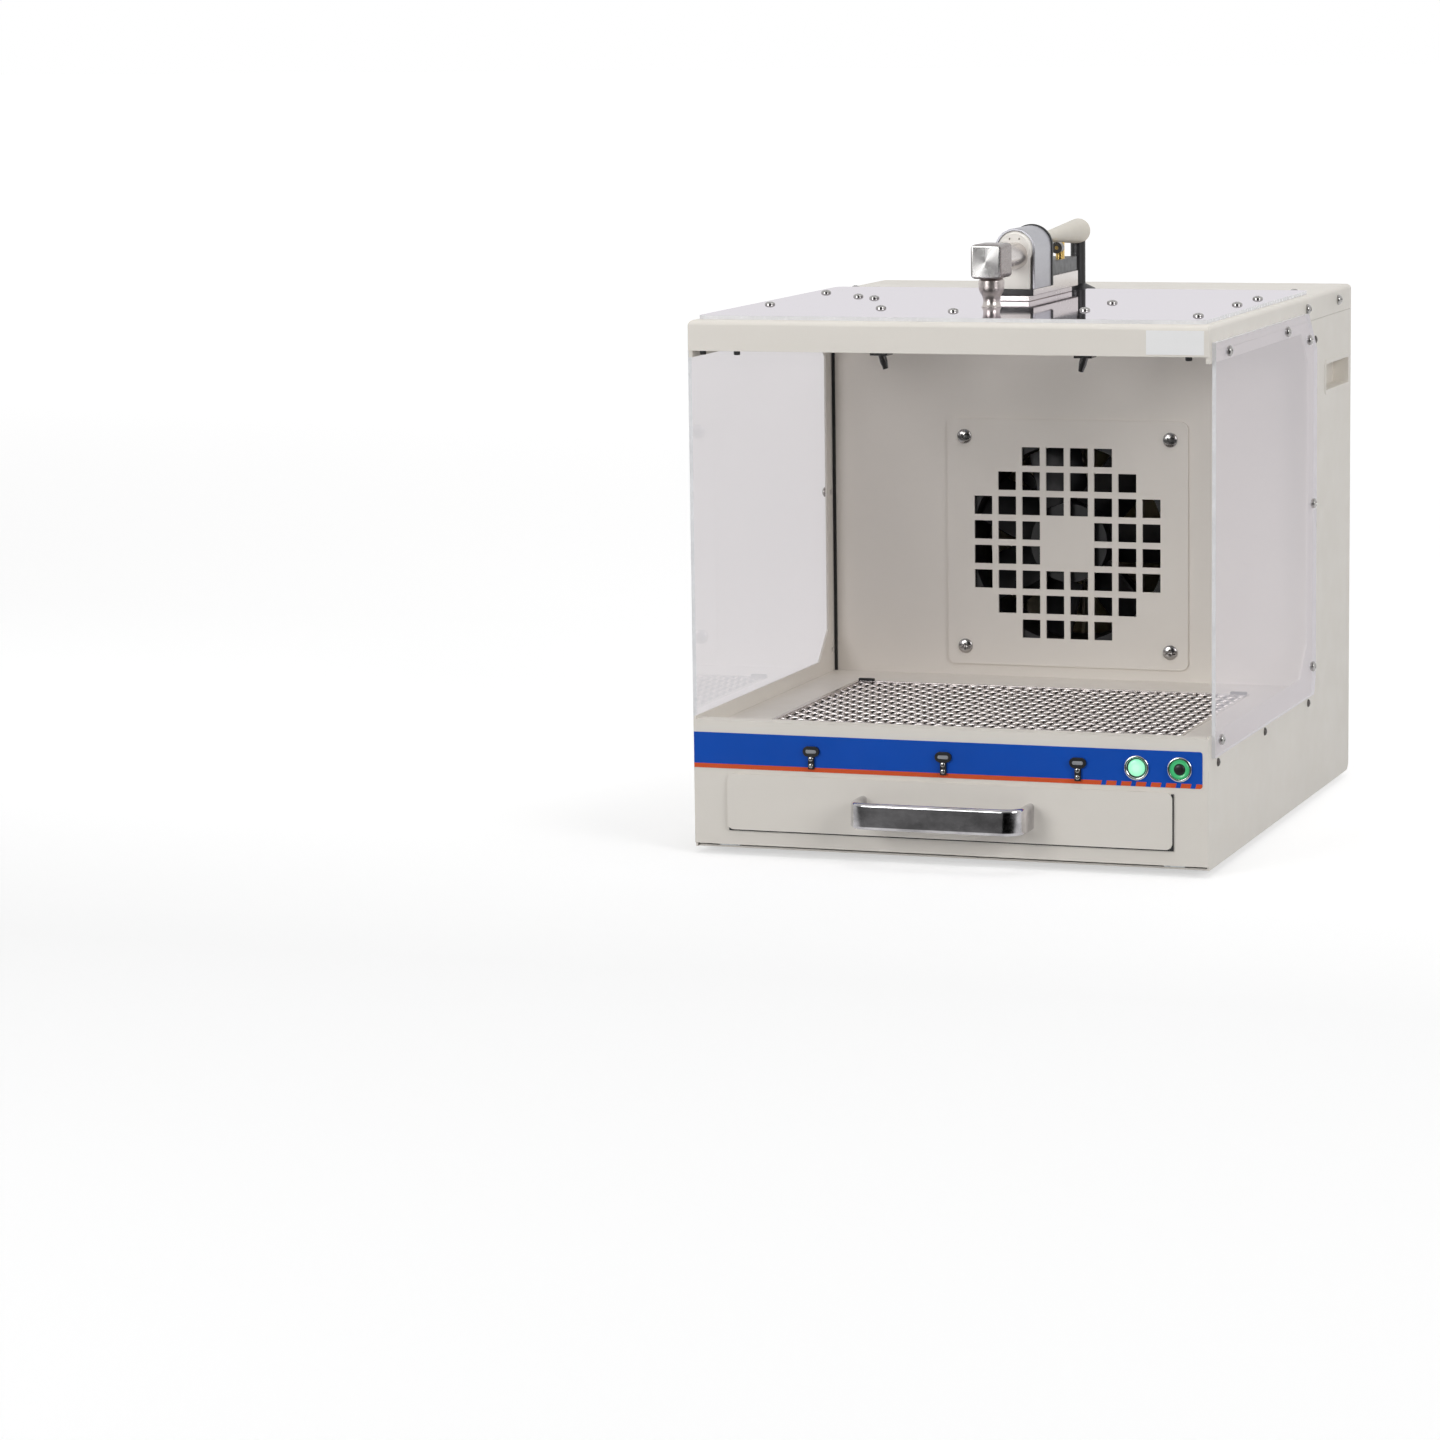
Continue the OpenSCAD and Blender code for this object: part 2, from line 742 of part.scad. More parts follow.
// Children at the rear panel's screws on the right side, seated on the rear face
module at_rear_screws() {
    for (z = rear_screws_z)
        translate([inner_x - rear_tab_w / 2, housing_d, z]) rotate([-90, 0, 0]) children();
}

module rear_panel() {
    top = housing_h - lid_rear_h - seam;
    low = pan_up + seam;
    half = inner_x - seam;
    color(paint) place() difference() {
        slab_y(housing_d - sheet_t, sheet_t) translate([-half, low]) square([2 * half, top - low]);
        slab_y(housing_d - sheet_t - 1, sheet_t + 2)
            for (column = [-1, 0, 1], row = [-vent_rows / 2 : vent_rows / 2])
                translate([column * (vent_slot_w + vent_pitch), fan_z + row * vent_pitch])
                    rounded_rect(vent_slot_w, vent_slot_h, vent_slot_h / 2 - 0.01);
        rod_y(0, housing_d - sheet_t - 1, air_z, inlet_thread_d + 2 * hole_gap, sheet_t + 2);
        slab_y(housing_d - sheet_t - 1, sheet_t + 2) translate([mains_x, mains_z])
            square([mains_body_w + 2 * hole_gap, mains_body_h + 2 * hole_gap], center = true);
        for (side = [0, 1]) mirror([side, 0, 0]) at_rear_screws()
            translate([0, 0, -3 * sheet_t]) cylinder(d = screw_hole, h = 4 * sheet_t);
    }
}

// The lid's outside, drawn in by inset, down to z = low
module lid_block(inset, low) {
    r = lid_edge_r - inset;
    intersection() {
        along_x(housing_w) arch_rect(inset, low, housing_d - inset, housing_h - inset, r);
        slab_y(0, housing_d) arch_rect(-hw + inset, low, hw - inset, housing_h - inset, r);
    }
}

module top_cover() {
    beam_z = housing_h - beam_h;
    color(paint) place() difference() {
        union() {
            difference() {
                lid_block(0, beam_z);
                lid_block(sheet_t, beam_z - 1);
                // The sides and the rear end higher than the beam
                box([-hw - 1, sheet_t, beam_z - 1], [hw + 1, housing_d + 1, housing_h - lid_flange_h]);
                box([-inner_x, housing_d - lid_edge_r, beam_z - 1],
                    [inner_x, housing_d + 1, housing_h - lid_rear_h]);
            }
            // Return edge of the beam
            box([-tongue_x, sheet_t, beam_z], [tongue_x, beam_return, beam_z + sheet_t]);
        }
        box([-lid_open_w / 2, lid_open_y, lid_under - 1],
            [lid_open_w / 2, lid_open_y + lid_open_d, housing_h + 1]);
        at_roof_screws() translate([0, 0, -window_t - sheet_t - 1])
            cylinder(d = screw_hole, h = window_t + sheet_t + 2);
        at_lid_top_screws() translate([0, 0, -sheet_t - 1]) cylinder(d = screw_hole, h = sheet_t + 2);
        translate([0, post_y, lid_under - 1]) cylinder(d = post_hole, h = sheet_t + 2);
        for (y = lid_side_screws_y, side = [0, 1]) mirror([side, 0, 0])
            rod_x(inner_x - 1, y, lid_side_screw_z, screw_hole, sheet_t + 2);
    }
}

module back_wall() {
    half = inner_x - seam;
    flange_top = cut_top - 1;
    color(paint) place() difference() {
        union() {
            box([-tongue_x, wall_y, deck_z], [tongue_x, bay_y, edge_clear_z]);
            box([lid_edge_r - tongue_x, wall_y, deck_z], [tongue_x - lid_edge_r, bay_y, lid_under - seam]);
            box([-half, wall_y, deck_z], [half, bay_y, flange_top]);
            // Flanges along the side panels' columns
            for (side = [0, 1]) mirror([side, 0, 0])
                box([half - sheet_t, wall_y, deck_z], [half, bay_y + column_tab_w, flange_top]);
        }
        for (p = column_rivets_yz, side = [0, 1]) mirror([side, 0, 0])
            rod_x(half - 2 * sheet_t, p[0], p[1], rivet_hole, 3 * sheet_t);
        // Opening behind every hole of the grille, backed by the fan's frame
        slab_y(wall_y - 1, sheet_t + 2) translate([0, fan_z]) intersection() {
            circle(d = fan_bore + wall_hole_over);
            square(fan_size - fan_lap, center = true);
        }
        for (x = [-1, 1]) rod_y(x * side_nozzle_x, wall_y - 1, air_z, tube_hole, sheet_t + 2);
        at_grille_screws() translate([0, 0, -grille_t - 2 * sheet_t])
            cylinder(d = screw_hole, h = grille_t + 3 * sheet_t);
    }
}

module work_deck() {
    half = inner_x - seam;
    well_w = mesh_w + 2 * sheet_t;
    deck_back = bay_y + column_tab_w;
    color(paint) place() difference() {
        union() {
            box([-half, front_in, deck_z - sheet_t], [half, deck_back, deck_z]);
            for (side = [0, 1]) mirror([side, 0, 0])
                box([half - sheet_t, front_in, deck_z - deck_flange_h], [half, deck_back, deck_z]);
            // Well with the ledge that the wire screen lies on
            box([-well_w / 2, mesh_front - sheet_t, ledge_top - sheet_t],
                [well_w / 2, mesh_front + mesh_d + sheet_t, deck_z]);
        }
        box([-mesh_w / 2, mesh_front, ledge_top], [mesh_w / 2, mesh_front + mesh_d, deck_z + 1]);
        box([-mesh_w / 2 + ledge_w, mesh_front + ledge_w, ledge_top - sheet_t - 1],
            [mesh_w / 2 - ledge_w, mesh_front + mesh_d - ledge_w, deck_z + 1]);
        for (y = rivets_y, side = [0, 1]) mirror([side, 0, 0])
            rod_x(half - 2 * sheet_t, y, rivet_z, rivet_hole, 3 * sheet_t);
    }
}

module wire_screen() {
    x0 = -mesh_out_w / 2;
    y0 = mesh_front + mesh_gap;
    color(steel) place() {
        difference() {
            box([x0, y0, ledge_top], [-x0, y0 + mesh_out_d, ledge_top + mesh_bar_h]);
            box([x0 + mesh_bar_w, y0 + mesh_bar_w, ledge_top - 1],
                [-x0 - mesh_bar_w, y0 + mesh_out_d - mesh_bar_w, ledge_top + mesh_bar_h + 1]);
        }
        for (i = [0 : wires_y - 1])
            rod_x(x0 + mesh_bar_w - wire_sink, y0 + mesh_out_d / 2 + (i - (wires_y - 1) / 2) * mesh_pitch,
                mesh_cross_z - wire_d / 2 - wire_gap, wire_d, mesh_out_w - 2 * (mesh_bar_w - wire_sink));
        for (i = [0 : wires_x - 1])
            rod_y((i - (wires_x - 1) / 2) * mesh_pitch, y0 + mesh_bar_w - wire_sink,
                mesh_cross_z + wire_d / 2 + wire_gap, wire_d, mesh_out_d - 2 * (mesh_bar_w - wire_sink));
    }
}

// Windows and fasteners

module roof_window() {
    color(clear) place() difference() {
        translate([0, roof_window_y + roof_window_d / 2, housing_h]) linear_extrude(window_t)
            rounded_rect(roof_window_w, roof_window_d, roof_window_r);
        at_roof_screws() translate([0, 0, -window_t - 1]) cylinder(d = screw_hole, h = window_t + 2);
        translate([0, nozzle_y, housing_h - 1]) cylinder(d = nozzle_stem_d + 2 * hole_gap, h = window_t + 2);
        for (x = [-1, 1]) translate([x * side_nozzle_x, side_nozzle_y, housing_h - 1])
            cylinder(d = screw_hole, h = window_t + 2);
    }
}

module side_window() {
    difference() {
        slab_x(hw, window_t) polygon([
            [window_front, window_low], [window_back - screw_edge, window_low],
            [window_back, window_low + 2 * screw_edge], [window_back, window_top - window_chamfer],
            [window_back - window_chamfer, window_top], [window_front, window_top]
        ]);
        at_window_screws() translate([0, 0, -window_t - 1]) cylinder(d = screw_hole, h = window_t + 2);
    }
}

module side_window_right() {
    color(clear) place() side_window();
}

module side_window_left() {
    color(clear) place() mirror([1, 0, 0]) side_window();
}

module side_window_screws() {
    color(steel) place() for (side = [0, 1]) mirror([side, 0, 0])
        at_window_screws() pan_screw(screw_d, screw_head_d, screw_head_h, window_t + 3 * sheet_t);
}

module roof_screws() {
    color(steel) place() {
        at_roof_screws() pan_screw(screw_d, screw_head_d, screw_head_h, window_t + 3 * sheet_t);
        for (x = [-1, 1]) translate([x * side_nozzle_x, side_nozzle_y, roof_z])
            pan_screw(screw_d, screw_head_d, screw_head_h, window_t + screw_bite);
    }
}

module lid_screws() {
    color(steel) place() {
        at_lid_top_screws() pan_screw(screw_d, screw_head_d, screw_head_h, 3 * sheet_t);
        for (side = [0, 1]) mirror([side, 0, 0]) {
            for (y = lid_side_screws_y) translate([hw, y, lid_side_screw_z]) rotate([0, 90, 0])
                pan_screw(screw_d, screw_head_d, screw_head_h, 3 * sheet_t);
            at_rear_screws() pan_screw(screw_d, screw_head_d, screw_head_h, 3 * sheet_t);
        }
    }
}

module rivet(length) {
    pan_screw(rivet_d, 2 * rivet_d, rivet_d / 3, length);
}

module rivets() {
    color(steel) place() for (side = [0, 1]) mirror([side, 0, 0]) {
        for (y = rivets_y) translate([hw, y, rivet_z]) rotate([0, 90, 0]) rivet(3 * sheet_t);
        for (p = column_rivets_yz) translate([hw, p[0], p[1]]) rotate([0, 90, 0]) rivet(3 * sheet_t);
    }
}

// Controls

module control_strip() {
    color([0.10, 0.27, 0.62]) place() difference() {
        slab_y(-strip_t, strip_t) translate([strip_x + strip_inset - hw, strip_z])
            square([housing_w - 2 * strip_inset, strip_h]);
        for (x = [start_x, power_x]) rod_y(x, -strip_t - 1, button_z, barrel_hole, strip_t + 2);
        for (x = sensors_x) rod_y(x, -strip_t - 1, sensor_z, plug_hole, strip_t + 2);
    }
}

module bare_label() {
    color([0.95, 0.95, 0.95]) place() box(
        [hw - lid_edge_r - label_w, -label_t, housing_h - lid_edge_r - label_h],
        [hw - lid_edge_r, 0, housing_h - lid_edge_r]);
}

module sensor_screw_spots() {
    for (x = sensors_x, s = sensor_screw_steps)
        translate([x, -strip_t - sensor_t, sensor_z - s * sensor_stem_h - sensor_h / 2 + 1])
            rotate([90, 0, 0]) children();
}

module sensor_bezels() {
    color(black) place() difference() {
        for (x = sensors_x) translate([x, 0, 0]) {
            slab_y(-strip_t - sensor_t, sensor_t) translate([0, sensor_z]) {
                rounded_rect(sensor_w, sensor_h, sensor_h / 2 - 0.01);
                translate([-sensor_stem_w / 2, 1 - sensor_h / 2 - sensor_stem_h])
                    square([sensor_stem_w, sensor_stem_h]);
            }
            rod_y(0, -strip_t, sensor_z, sensor_plug_d, sensor_plug_l);
        }
        for (x = sensors_x) slab_y(-strip_t - sensor_t - 1, 1 + lens_t)
            translate([x, sensor_z])
                rounded_rect(lens_w + 2 * lens_gap, lens_h + 2 * lens_gap, lens_h / 2);
        sensor_screw_spots() translate([0, 0, -sensor_t])
            cylinder(d = sensor_screw_d + 2 * lens_gap, h = sensor_t + 1);
    }
}

module sensor_lenses() {
    color([0.78, 0.78, 0.80]) place() for (x = sensors_x)
        slab_y(-strip_t - sensor_t, lens_t) translate([x, sensor_z])
            rounded_rect(lens_w, lens_h, lens_h / 2 - 0.01);
}

module sensor_screws() {
    color(steel) place() sensor_screw_spots()
        pan_screw(sensor_screw_d, 2 * sensor_screw_d, sensor_screw_d / 2, sensor_t - 0.2);
}

// Chrome bezel with its threaded barrel, bored for a cap of the given diameter
module button_bezel(x, cap_d) {
    bore = cap_d + 2 * run_gap;
    difference() {
        union() {
            rod_y(x, -strip_t - bezel_t, button_z, bezel_d, bezel_t);
            rod_y(x, -strip_t, button_z, barrel_d, barrel_l);
        }
        rod_y(x, -strip_t - bezel_t - 1, button_z, bore, barrel_l + bezel_t + 1 - cup_floor);
    }
}

// A cap that stands proud of its bezel and slides back into the barrel
module button_cap(x, cap_d, proud) {
    rod_y(x, -strip_t - bezel_t - proud, button_z, cap_d, cap_l + proud);
    rod_y(x, -strip_t - bezel_t + cap_l, button_z, cap_d / 2, cap_stem_l);
}

module start_bezel() {
    color(steel) place() button_bezel(start_x, start_cap_d);
}

module start_cap() {
    color([0.62, 0.95, 0.78]) place() button_cap(start_x, start_cap_d, cap_proud);
}

module power_bezel() {
    color(steel) place() difference() {
        button_bezel(power_x, power_cap_d);
        rod_y(power_x, -strip_t - bezel_t - 1, button_z, power_ring_d + 2 * hole_gap, 1 + ring_t);
    }
}

module power_ring() {
    color([0.10, 0.75, 0.35]) place() difference() {
        rod_y(power_x, -strip_t - bezel_t, button_z, power_ring_d, ring_t);
        rod_y(power_x, -strip_t - bezel_t - 1, button_z, power_cap_d + 2 * run_gap, ring_t + 2);
    }
}

module power_plunger() {
    color(black) place() button_cap(power_x, power_cap_d, cap_proud);
}

module button_nuts() {
    color(steel) place() for (x = [start_x, power_x]) difference() {
        translate([x, sheet_t, button_z]) rotate([-90, 0, 0])
            cylinder(d = nut_af / cos(30), h = nut_h, $fn = 6);
        rod_y(x, sheet_t - 1, button_z, barrel_hole, nut_h + 2);
    }
}

// Drawer

module drawer_front() {
    color(paint) place() difference() {
        slab_y(drawer_y, drawer_front_t) translate([0, drawer_mid_z])
            rounded_rect(drawer_w, drawer_h, drawer_r);
        at_handle_screws(handle_hole, drawer_y - 1, drawer_front_t + 2);
    }
}

// Round bars at both handle legs, from y0 on
module at_handle_screws(d, y0, length) {
    for (x = [-1, 1]) rod_y(x * handle_span / 2, y0, handle_z, d, length);
}

module drawer_tray() {
    y0 = tray_y;
    color(paint) place() difference() {
        box([-tray_w / 2, y0, tray_z], [tray_w / 2, y0 + tray_d, tray_top]);
        box([-tray_w / 2 + tray_t, y0 + tray_t, tray_z + tray_t],
            [tray_w / 2 - tray_t, y0 + tray_d - tray_t, tray_top + 1]);
        at_handle_screws(handle_hole, y0 - 1, tray_t + 2);
    }
}

module drawer_handle() {
    w = handle_span + handle_t;
    inside = handle_span - handle_t;
    color(steel) place() difference() {
        translate([0, drawer_y, handle_z - handle_h / 2]) linear_extrude(handle_h) difference() {
            mirror([0, 1]) arch_rect(-w / 2, 0, w / 2, handle_reach, handle_r);
            mirror([0, 1]) translate([0, -1])
                arch_rect(-inside / 2, 0, inside / 2, handle_reach - handle_t + 1, handle_r - handle_t);
        }
        at_handle_screws(handle_hole, drawer_y - handle_screw_bite - 1, handle_screw_bite + 2);
    }
}

module handle_screws() {
    seat = tray_y + tray_t;
    length = seat - drawer_y + handle_screw_bite;
    color(steel) place() for (x = [-1, 1])
        translate([x * handle_span / 2, seat, handle_z]) rotate([-90, 0, 0])
            pan_screw(handle_screw_d, 2 * handle_screw_d, handle_screw_d * 0.6, length);
}

// C-shaped runner beside the tray, with a foot on the pan
module runner() {
    low = tray_z - run_gap;
    high = tray_top + run_gap;
    out = runner_x + sheet_t;
    length = tray_y + tray_d - runner_front;
    slab_y(runner_front, length) polygon([
        [runner_x - runner_ledge, low - sheet_t], [runner_x, low - sheet_t], [runner_x, sheet_t],
        [runner_x + runner_foot, sheet_t], [runner_x + runner_foot, 2 * sheet_t], [out, 2 * sheet_t],
        [out, high + sheet_t], [runner_x - runner_ledge, high + sheet_t], [runner_x - runner_ledge, high],
        [runner_x, high], [runner_x, low], [runner_x - runner_ledge, low]
    ]);
}

module runner_right() {
    color(steel) place() runner();
}

module runner_left() {
    color(steel) place() mirror([1, 0, 0]) runner();
}

// Suction

module grille_plate() {
    n = len(grille_rows);
    color(paint) place() difference() {
        slab_y(wall_y - grille_t, grille_t) translate([0, fan_z]) difference() {
            rounded_rect(grille_size, grille_size, grille_r);
            for (row = [0 : n - 1], i = [0 : grille_rows[row] - 1]) {
                x = (i - (grille_rows[row] - 1) / 2) * grille_pitch;
                z = (row - (n - 1) / 2) * grille_pitch;
                // The middle four stay closed in front of the hub
                if (abs(x) > grille_pitch || abs(z) > grille_pitch)
                    translate([x, z]) square(grille_hole, center = true);
            }
        }
        at_grille_screws() translate([0, 0, -grille_t - 1]) cylinder(d = screw_hole, h = grille_t + 2);
    }
}

module grille_screws() {
    color(steel) place() at_grille_screws()
        pan_screw(screw_d, grille_head_d, screw_head_h, grille_t + 2 * sheet_t);
}

module fan_frame() {
    hub = fan_hub_d - 4;
    color(black) place() difference() {
        union() {
            difference() {
                slab_y(fan_y, fan_depth) translate([0, fan_z]) rounded_rect(fan_size, fan_size, fan_corner_r);
                rod_y(0, fan_y - 1, fan_z, fan_bore, fan_depth + 2);
            }
            rod_y(0, fan_back - motor_l, fan_z, hub, motor_l);
            intersection() {
                for (a = [45, 135]) translate([0, fan_back - strut_t, fan_z]) rotate([0, a, 0])
                    translate([-fan_bore, 0, -strut_w / 2]) cube([2 * fan_bore, strut_t, strut_w]);
                rod_y(0, fan_y, fan_z, fan_bore + 1, fan_depth);
            }
        }
        // Bearing for the impeller's shaft
        rod_y(0, fan_back - motor_l - 1, fan_z, fan_shaft_d + 2 * bearing_gap, motor_l + 2);
        at_grille_screws() translate([0, 0, -grille_t - 4 * sheet_t])
            cylinder(d = screw_hole, h = grille_t + 5 * sheet_t);
    }
}

module fan_impeller() {
    hub_front = fan_y + fan_front_gap;
    hub_l = fan_depth - motor_l - fan_front_gap - run_gap;
    tip = fan_bore - 2 * fan_tip_gap;
    color([0.12, 0.12, 0.13]) place() {
        rod_y(0, hub_front, fan_z, fan_hub_d, hub_l);
        rod_y(0, hub_front + hub_l, fan_z, fan_shaft_d, run_gap + shaft_sink);
        intersection() {
            translate([0, hub_front + hub_l / 2, fan_z]) for (i = [0 : fan_blades - 1])
                rotate([0, i * 360 / fan_blades, 0])
                    translate([fan_hub_d / 2 - blade_root, 0, 0]) rotate([blade_pitch, 0, 0])
                    translate([0, -blade_t / 2, -blade_chord / 2]) cube([tip / 2, blade_t, blade_chord]);
            rod_y(0, hub_front + 1, fan_z, tip, hub_l - 2);
        }
    }
}

module filter_housing() {
    out = filter_size + 2 * (sheet_t + hole_gap);
    length = rear_in - fan_duct_y;
    color(steel) place() difference() {
        slab_y(fan_duct_y, length) translate([0, fan_z]) square(out, center = true);
        slab_y(fan_duct_y + sheet_t, length) translate([0, fan_z]) square(out - 2 * sheet_t, center = true);
        rod_y(0, fan_duct_y - 1, fan_z, fan_bore, sheet_t + 2);
    }
}

module filter_cartridge() {
    y0 = rear_in - filter_depth - filter_rear_gap;
    inside = filter_size - 2 * filter_wall;
    step = inside / pleats;
    depth = filter_depth - 2 * filter_wall;
    color([0.9, 0.9, 0.86]) place() {
        difference() {
            slab_y(y0, filter_depth) translate([0, fan_z]) square(filter_size, center = true);
            slab_y(y0 - 1, filter_depth + 2) translate([0, fan_z]) square(inside, center = true);
        }
        // Pleated paper, a zigzag of constant thickness
        translate([-inside / 2, y0 + filter_wall, fan_z - inside / 2 - 0.5]) linear_extrude(inside + 1)
            polygon(concat(
                [for (i = [0 : pleats]) [i * step, (i % 2) * (depth - paper_t)]],
                [for (i = [pleats : -1 : 0]) [i * step, (i % 2) * (depth - paper_t) + paper_t]]));
    }
}

// Electrics and air

module power_supply() {
    x1 = inner_x - seam;
    color(steel) place() difference() {
        box([x1 - psu[0], bay_y + bay_gap, psu_z], [x1, bay_y + bay_gap + psu[1], psu_z + psu[2]]);
        // Terminal recess at the inner edge
        box([x1 - psu[0] - 1, bay_y + bay_gap + psu_rim, psu_z + psu[2] - psu_recess],
            [x1 - psu[0] / 2, bay_y + bay_gap + psu[1] - psu_rim, psu_z + psu[2] + 1]);
    }
}

module ion_supply() {
    x0 = -inner_x + seam;
    color([0.20, 0.21, 0.23]) place() {
        box([x0, bay_y + bay_gap, psu_z], [x0 + ion[0], bay_y + bay_gap + ion[1], psu_z + ion[2]]);
        // High-voltage bushing
        translate([x0 + ion[0] / 2, bay_y + bay_gap + ion[1] / 2, psu_z + ion[2]]) {
            cylinder(d = collar_d, h = collar_l);
            cylinder(d = bushing_d, h = bushing_l);
        }
    }
}

module control_board() {
    x1 = inner_x - seam;
    x0 = x1 - standoff_l - board_t;
    z0 = psu_z + psu[2] + bay_gap;
    y0 = bay_y + bay_gap;
    color([0.08, 0.35, 0.20]) place() {
        box([x0, y0, z0], [x0 + board_t, y0 + board[0], z0 + board[1]]);
        for (y = [standoff_d, board[0] - standoff_d], z = [standoff_d, board[1] - standoff_d])
            rod_x(x0 + board_t / 2, y0 + y, z0 + z, standoff_d, standoff_l + board_t / 2);
        // Terminal strip, relays and capacitor
        box([x0 - terminal_h, y0 + board[0] * 0.16, z0 + board[1] * 0.03],
            [x0 + solder, y0 + board[0] * 0.84, z0 + board[1] * 0.15]);
        for (i = [0, 1]) box([x0 - relay_h, y0 + board[0] * (0.16 + 0.27 * i), z0 + board[1] * 0.28],
            [x0 + solder, y0 + board[0] * (0.16 + 0.27 * i) + relay_w, z0 + board[1] * 0.28 + relay_w]);
        rod_x(x0 - capacitor_l, y0 + board[0] * 0.3, z0 + board[1] * 0.68, capacitor_d, capacitor_l + solder);
    }
}

module air_manifold() {
    color([0.62, 0.63, 0.65]) place() difference() {
        union() {
            box([-manifold_w / 2, manifold_y, air_z - manifold_h / 2],
                [manifold_w / 2, manifold_y + manifold_d, air_z + manifold_h / 2]);
            // Spacers that hold it off the back wall
            for (x = [-1, 1]) rod_y(x * manifold_spacer_x, bay_y, air_z, spacer_d, manifold_y - bay_y + 1);
        }
        for (x = [-1, 1]) rod_y(x * side_nozzle_x, manifold_y - 1, air_z, tube_hole, 1 + port_l);
        translate([0, post_y, air_z + manifold_h / 2 - port_l]) cylinder(d = post_hole, h = port_l + 1);
    }
}

module solenoid_valve() {
    y0 = manifold_y + manifold_d;
    color([0.16, 0.16, 0.17]) place() {
        difference() {
            box([-valve_half, y0, air_z - valve_half], [valve_half, y0 + valve_body_l, air_z + valve_half]);
            rod_y(0, y0 + valve_body_l - port_l, air_z, tube_hole, port_l + 1);
        }
        // Coil
        box([valve_half, y0 + valve_body_l * 0.12, air_z - valve_half * 0.85],
            [valve_half + coil_l, y0 + valve_body_l * 0.72, air_z + valve_half * 0.85]);
        rod_x(valve_half + coil_l, y0 + valve_body_l * 0.42, air_z, coil_nut_d, coil_nut_l);
    }
}

module air_tubes() {
    color([0.12, 0.25, 0.55]) place() {
        for (x = [-1, 1]) difference() {
            tube_front = side_nozzle_y + nozzle_seat / 2 - nozzle_grip;
            rod_y(x * side_nozzle_x, tube_front, air_z, tube_d, manifold_y + port_l - 1 - tube_front);
            rod_y(x * side_nozzle_x, tube_front - 1, air_z, tube_d - 2, housing_d);
        }
        // From the rear inlet to the valve
        difference() {
            rod_y(0, supply_y - port_l + 1, air_z, tube_d, rear_in - inlet_stub - supply_y + 2 * port_l - 2);
            rod_y(0, supply_y - port_l, air_z, tube_d - 2, housing_d);
        }
    }
}

// Seat under the roof window with a tilted jet, fed by a tube from behind
module side_nozzle() {
    top = housing_h;
    half = nozzle_seat / 2;
    color(steel) place() translate([side_nozzle_x, side_nozzle_y, 0]) difference() {
        union() {
            translate([-half, -half, air_z - nozzle_under])
                cube([nozzle_seat, nozzle_seat, nozzle_under + half]);
            translate([0, 0, air_z]) cylinder(d = 11, h = top - air_z);
            translate([0, 0, air_z - nozzle_under + 2]) rotate([0, side_nozzle_tilt, 0]) {
                translate([0, 0, -13]) cylinder(d1 = 4, d2 = 6, h = 6);
                translate([0, 0, -7]) cylinder(d = 6, h = 7);
            }
        }
        rod_y(0, half - nozzle_grip - 1, air_z, tube_hole, nozzle_grip + 2);
        translate([0, 0, top - screw_bite - 1]) cylinder(d = screw_hole, h = screw_bite + 2);
    }
}

module side_nozzle_right() {
    side_nozzle();
}

module side_nozzle_left() {
    mirror([1, 0, 0]) side_nozzle();
}

// Push-in bulkhead fitting for the compressed air
module air_inlet() {
    color([0.10, 0.16, 0.40]) place() difference() {
        union() {
            rod_y(0, housing_d, air_z, inlet_collar_d, inlet_reach);
            translate([0, housing_d, air_z]) rotate([-90, 0, 0])
                cylinder(d = inlet_hex / cos(30), h = inlet_flange, $fn = 6);
            rod_y(0, rear_in - inlet_stub, air_z, inlet_thread_d, inlet_stub + sheet_t + seam);
        }
        rod_y(0, housing_d + inlet_reach - inlet_bore_l, air_z, inlet_bore_d, inlet_bore_l + 1);
        rod_y(0, rear_in - inlet_stub - 1, air_z, tube_hole, port_l + 1);
        rod_y(0, rear_in - inlet_stub, air_z, tube_d - 2, inlet_stub + 4);
    }
}

// Appliance inlet with three recessed pins
module mains_inlet() {
    floor_y = housing_d + mains_flange_t - mains_socket_l;
    color(black) place() translate([mains_x, 0, mains_z]) {
        difference() {
            union() {
                slab_y(housing_d, mains_flange_t) rounded_rect(50, 23, 4);
                slab_y(housing_d - mains_body_l, mains_body_l)
                    square([mains_body_w, mains_body_h], center = true);
            }
            slab_y(floor_y, mains_socket_l + 1) square([mains_socket_w, mains_socket_h], center = true);
        }
        for (p = [[-7, -2], [0, 2], [7, -2]]) translate([p[0] - 1, floor_y - 1, p[1] - 2])
            cube([2, mains_pin_l + 1, 4]);
    }
}

// Grip pocket let into a side panel
module grip() {
    y = housing_d - grip_back;
    w = grip_w - 2 * hole_gap;
    h = grip_h - 2 * hole_gap;
    difference() {
        union() {
            slab_x(hw, grip_rim_t) translate([y, grip_z])
                rounded_rect(grip_w + 2 * grip_rim, grip_h + 2 * grip_rim, grip_r + grip_rim);
            slab_x(hw - grip_depth, grip_depth) translate([y, grip_z]) rounded_rect(w, h, grip_r - hole_gap);
        }
        slab_x(hw - grip_depth + grip_wall, grip_depth + grip_rim_t) translate([y, grip_z])
            rounded_rect(w - 2 * grip_wall, h - 2 * grip_wall, grip_r - grip_wall);
    }
}

module grip_right() {
    color(paint) place() grip();
}

module grip_left() {
    color(paint) place() mirror([1, 0, 0]) grip();
}

// Ion gun on the roof

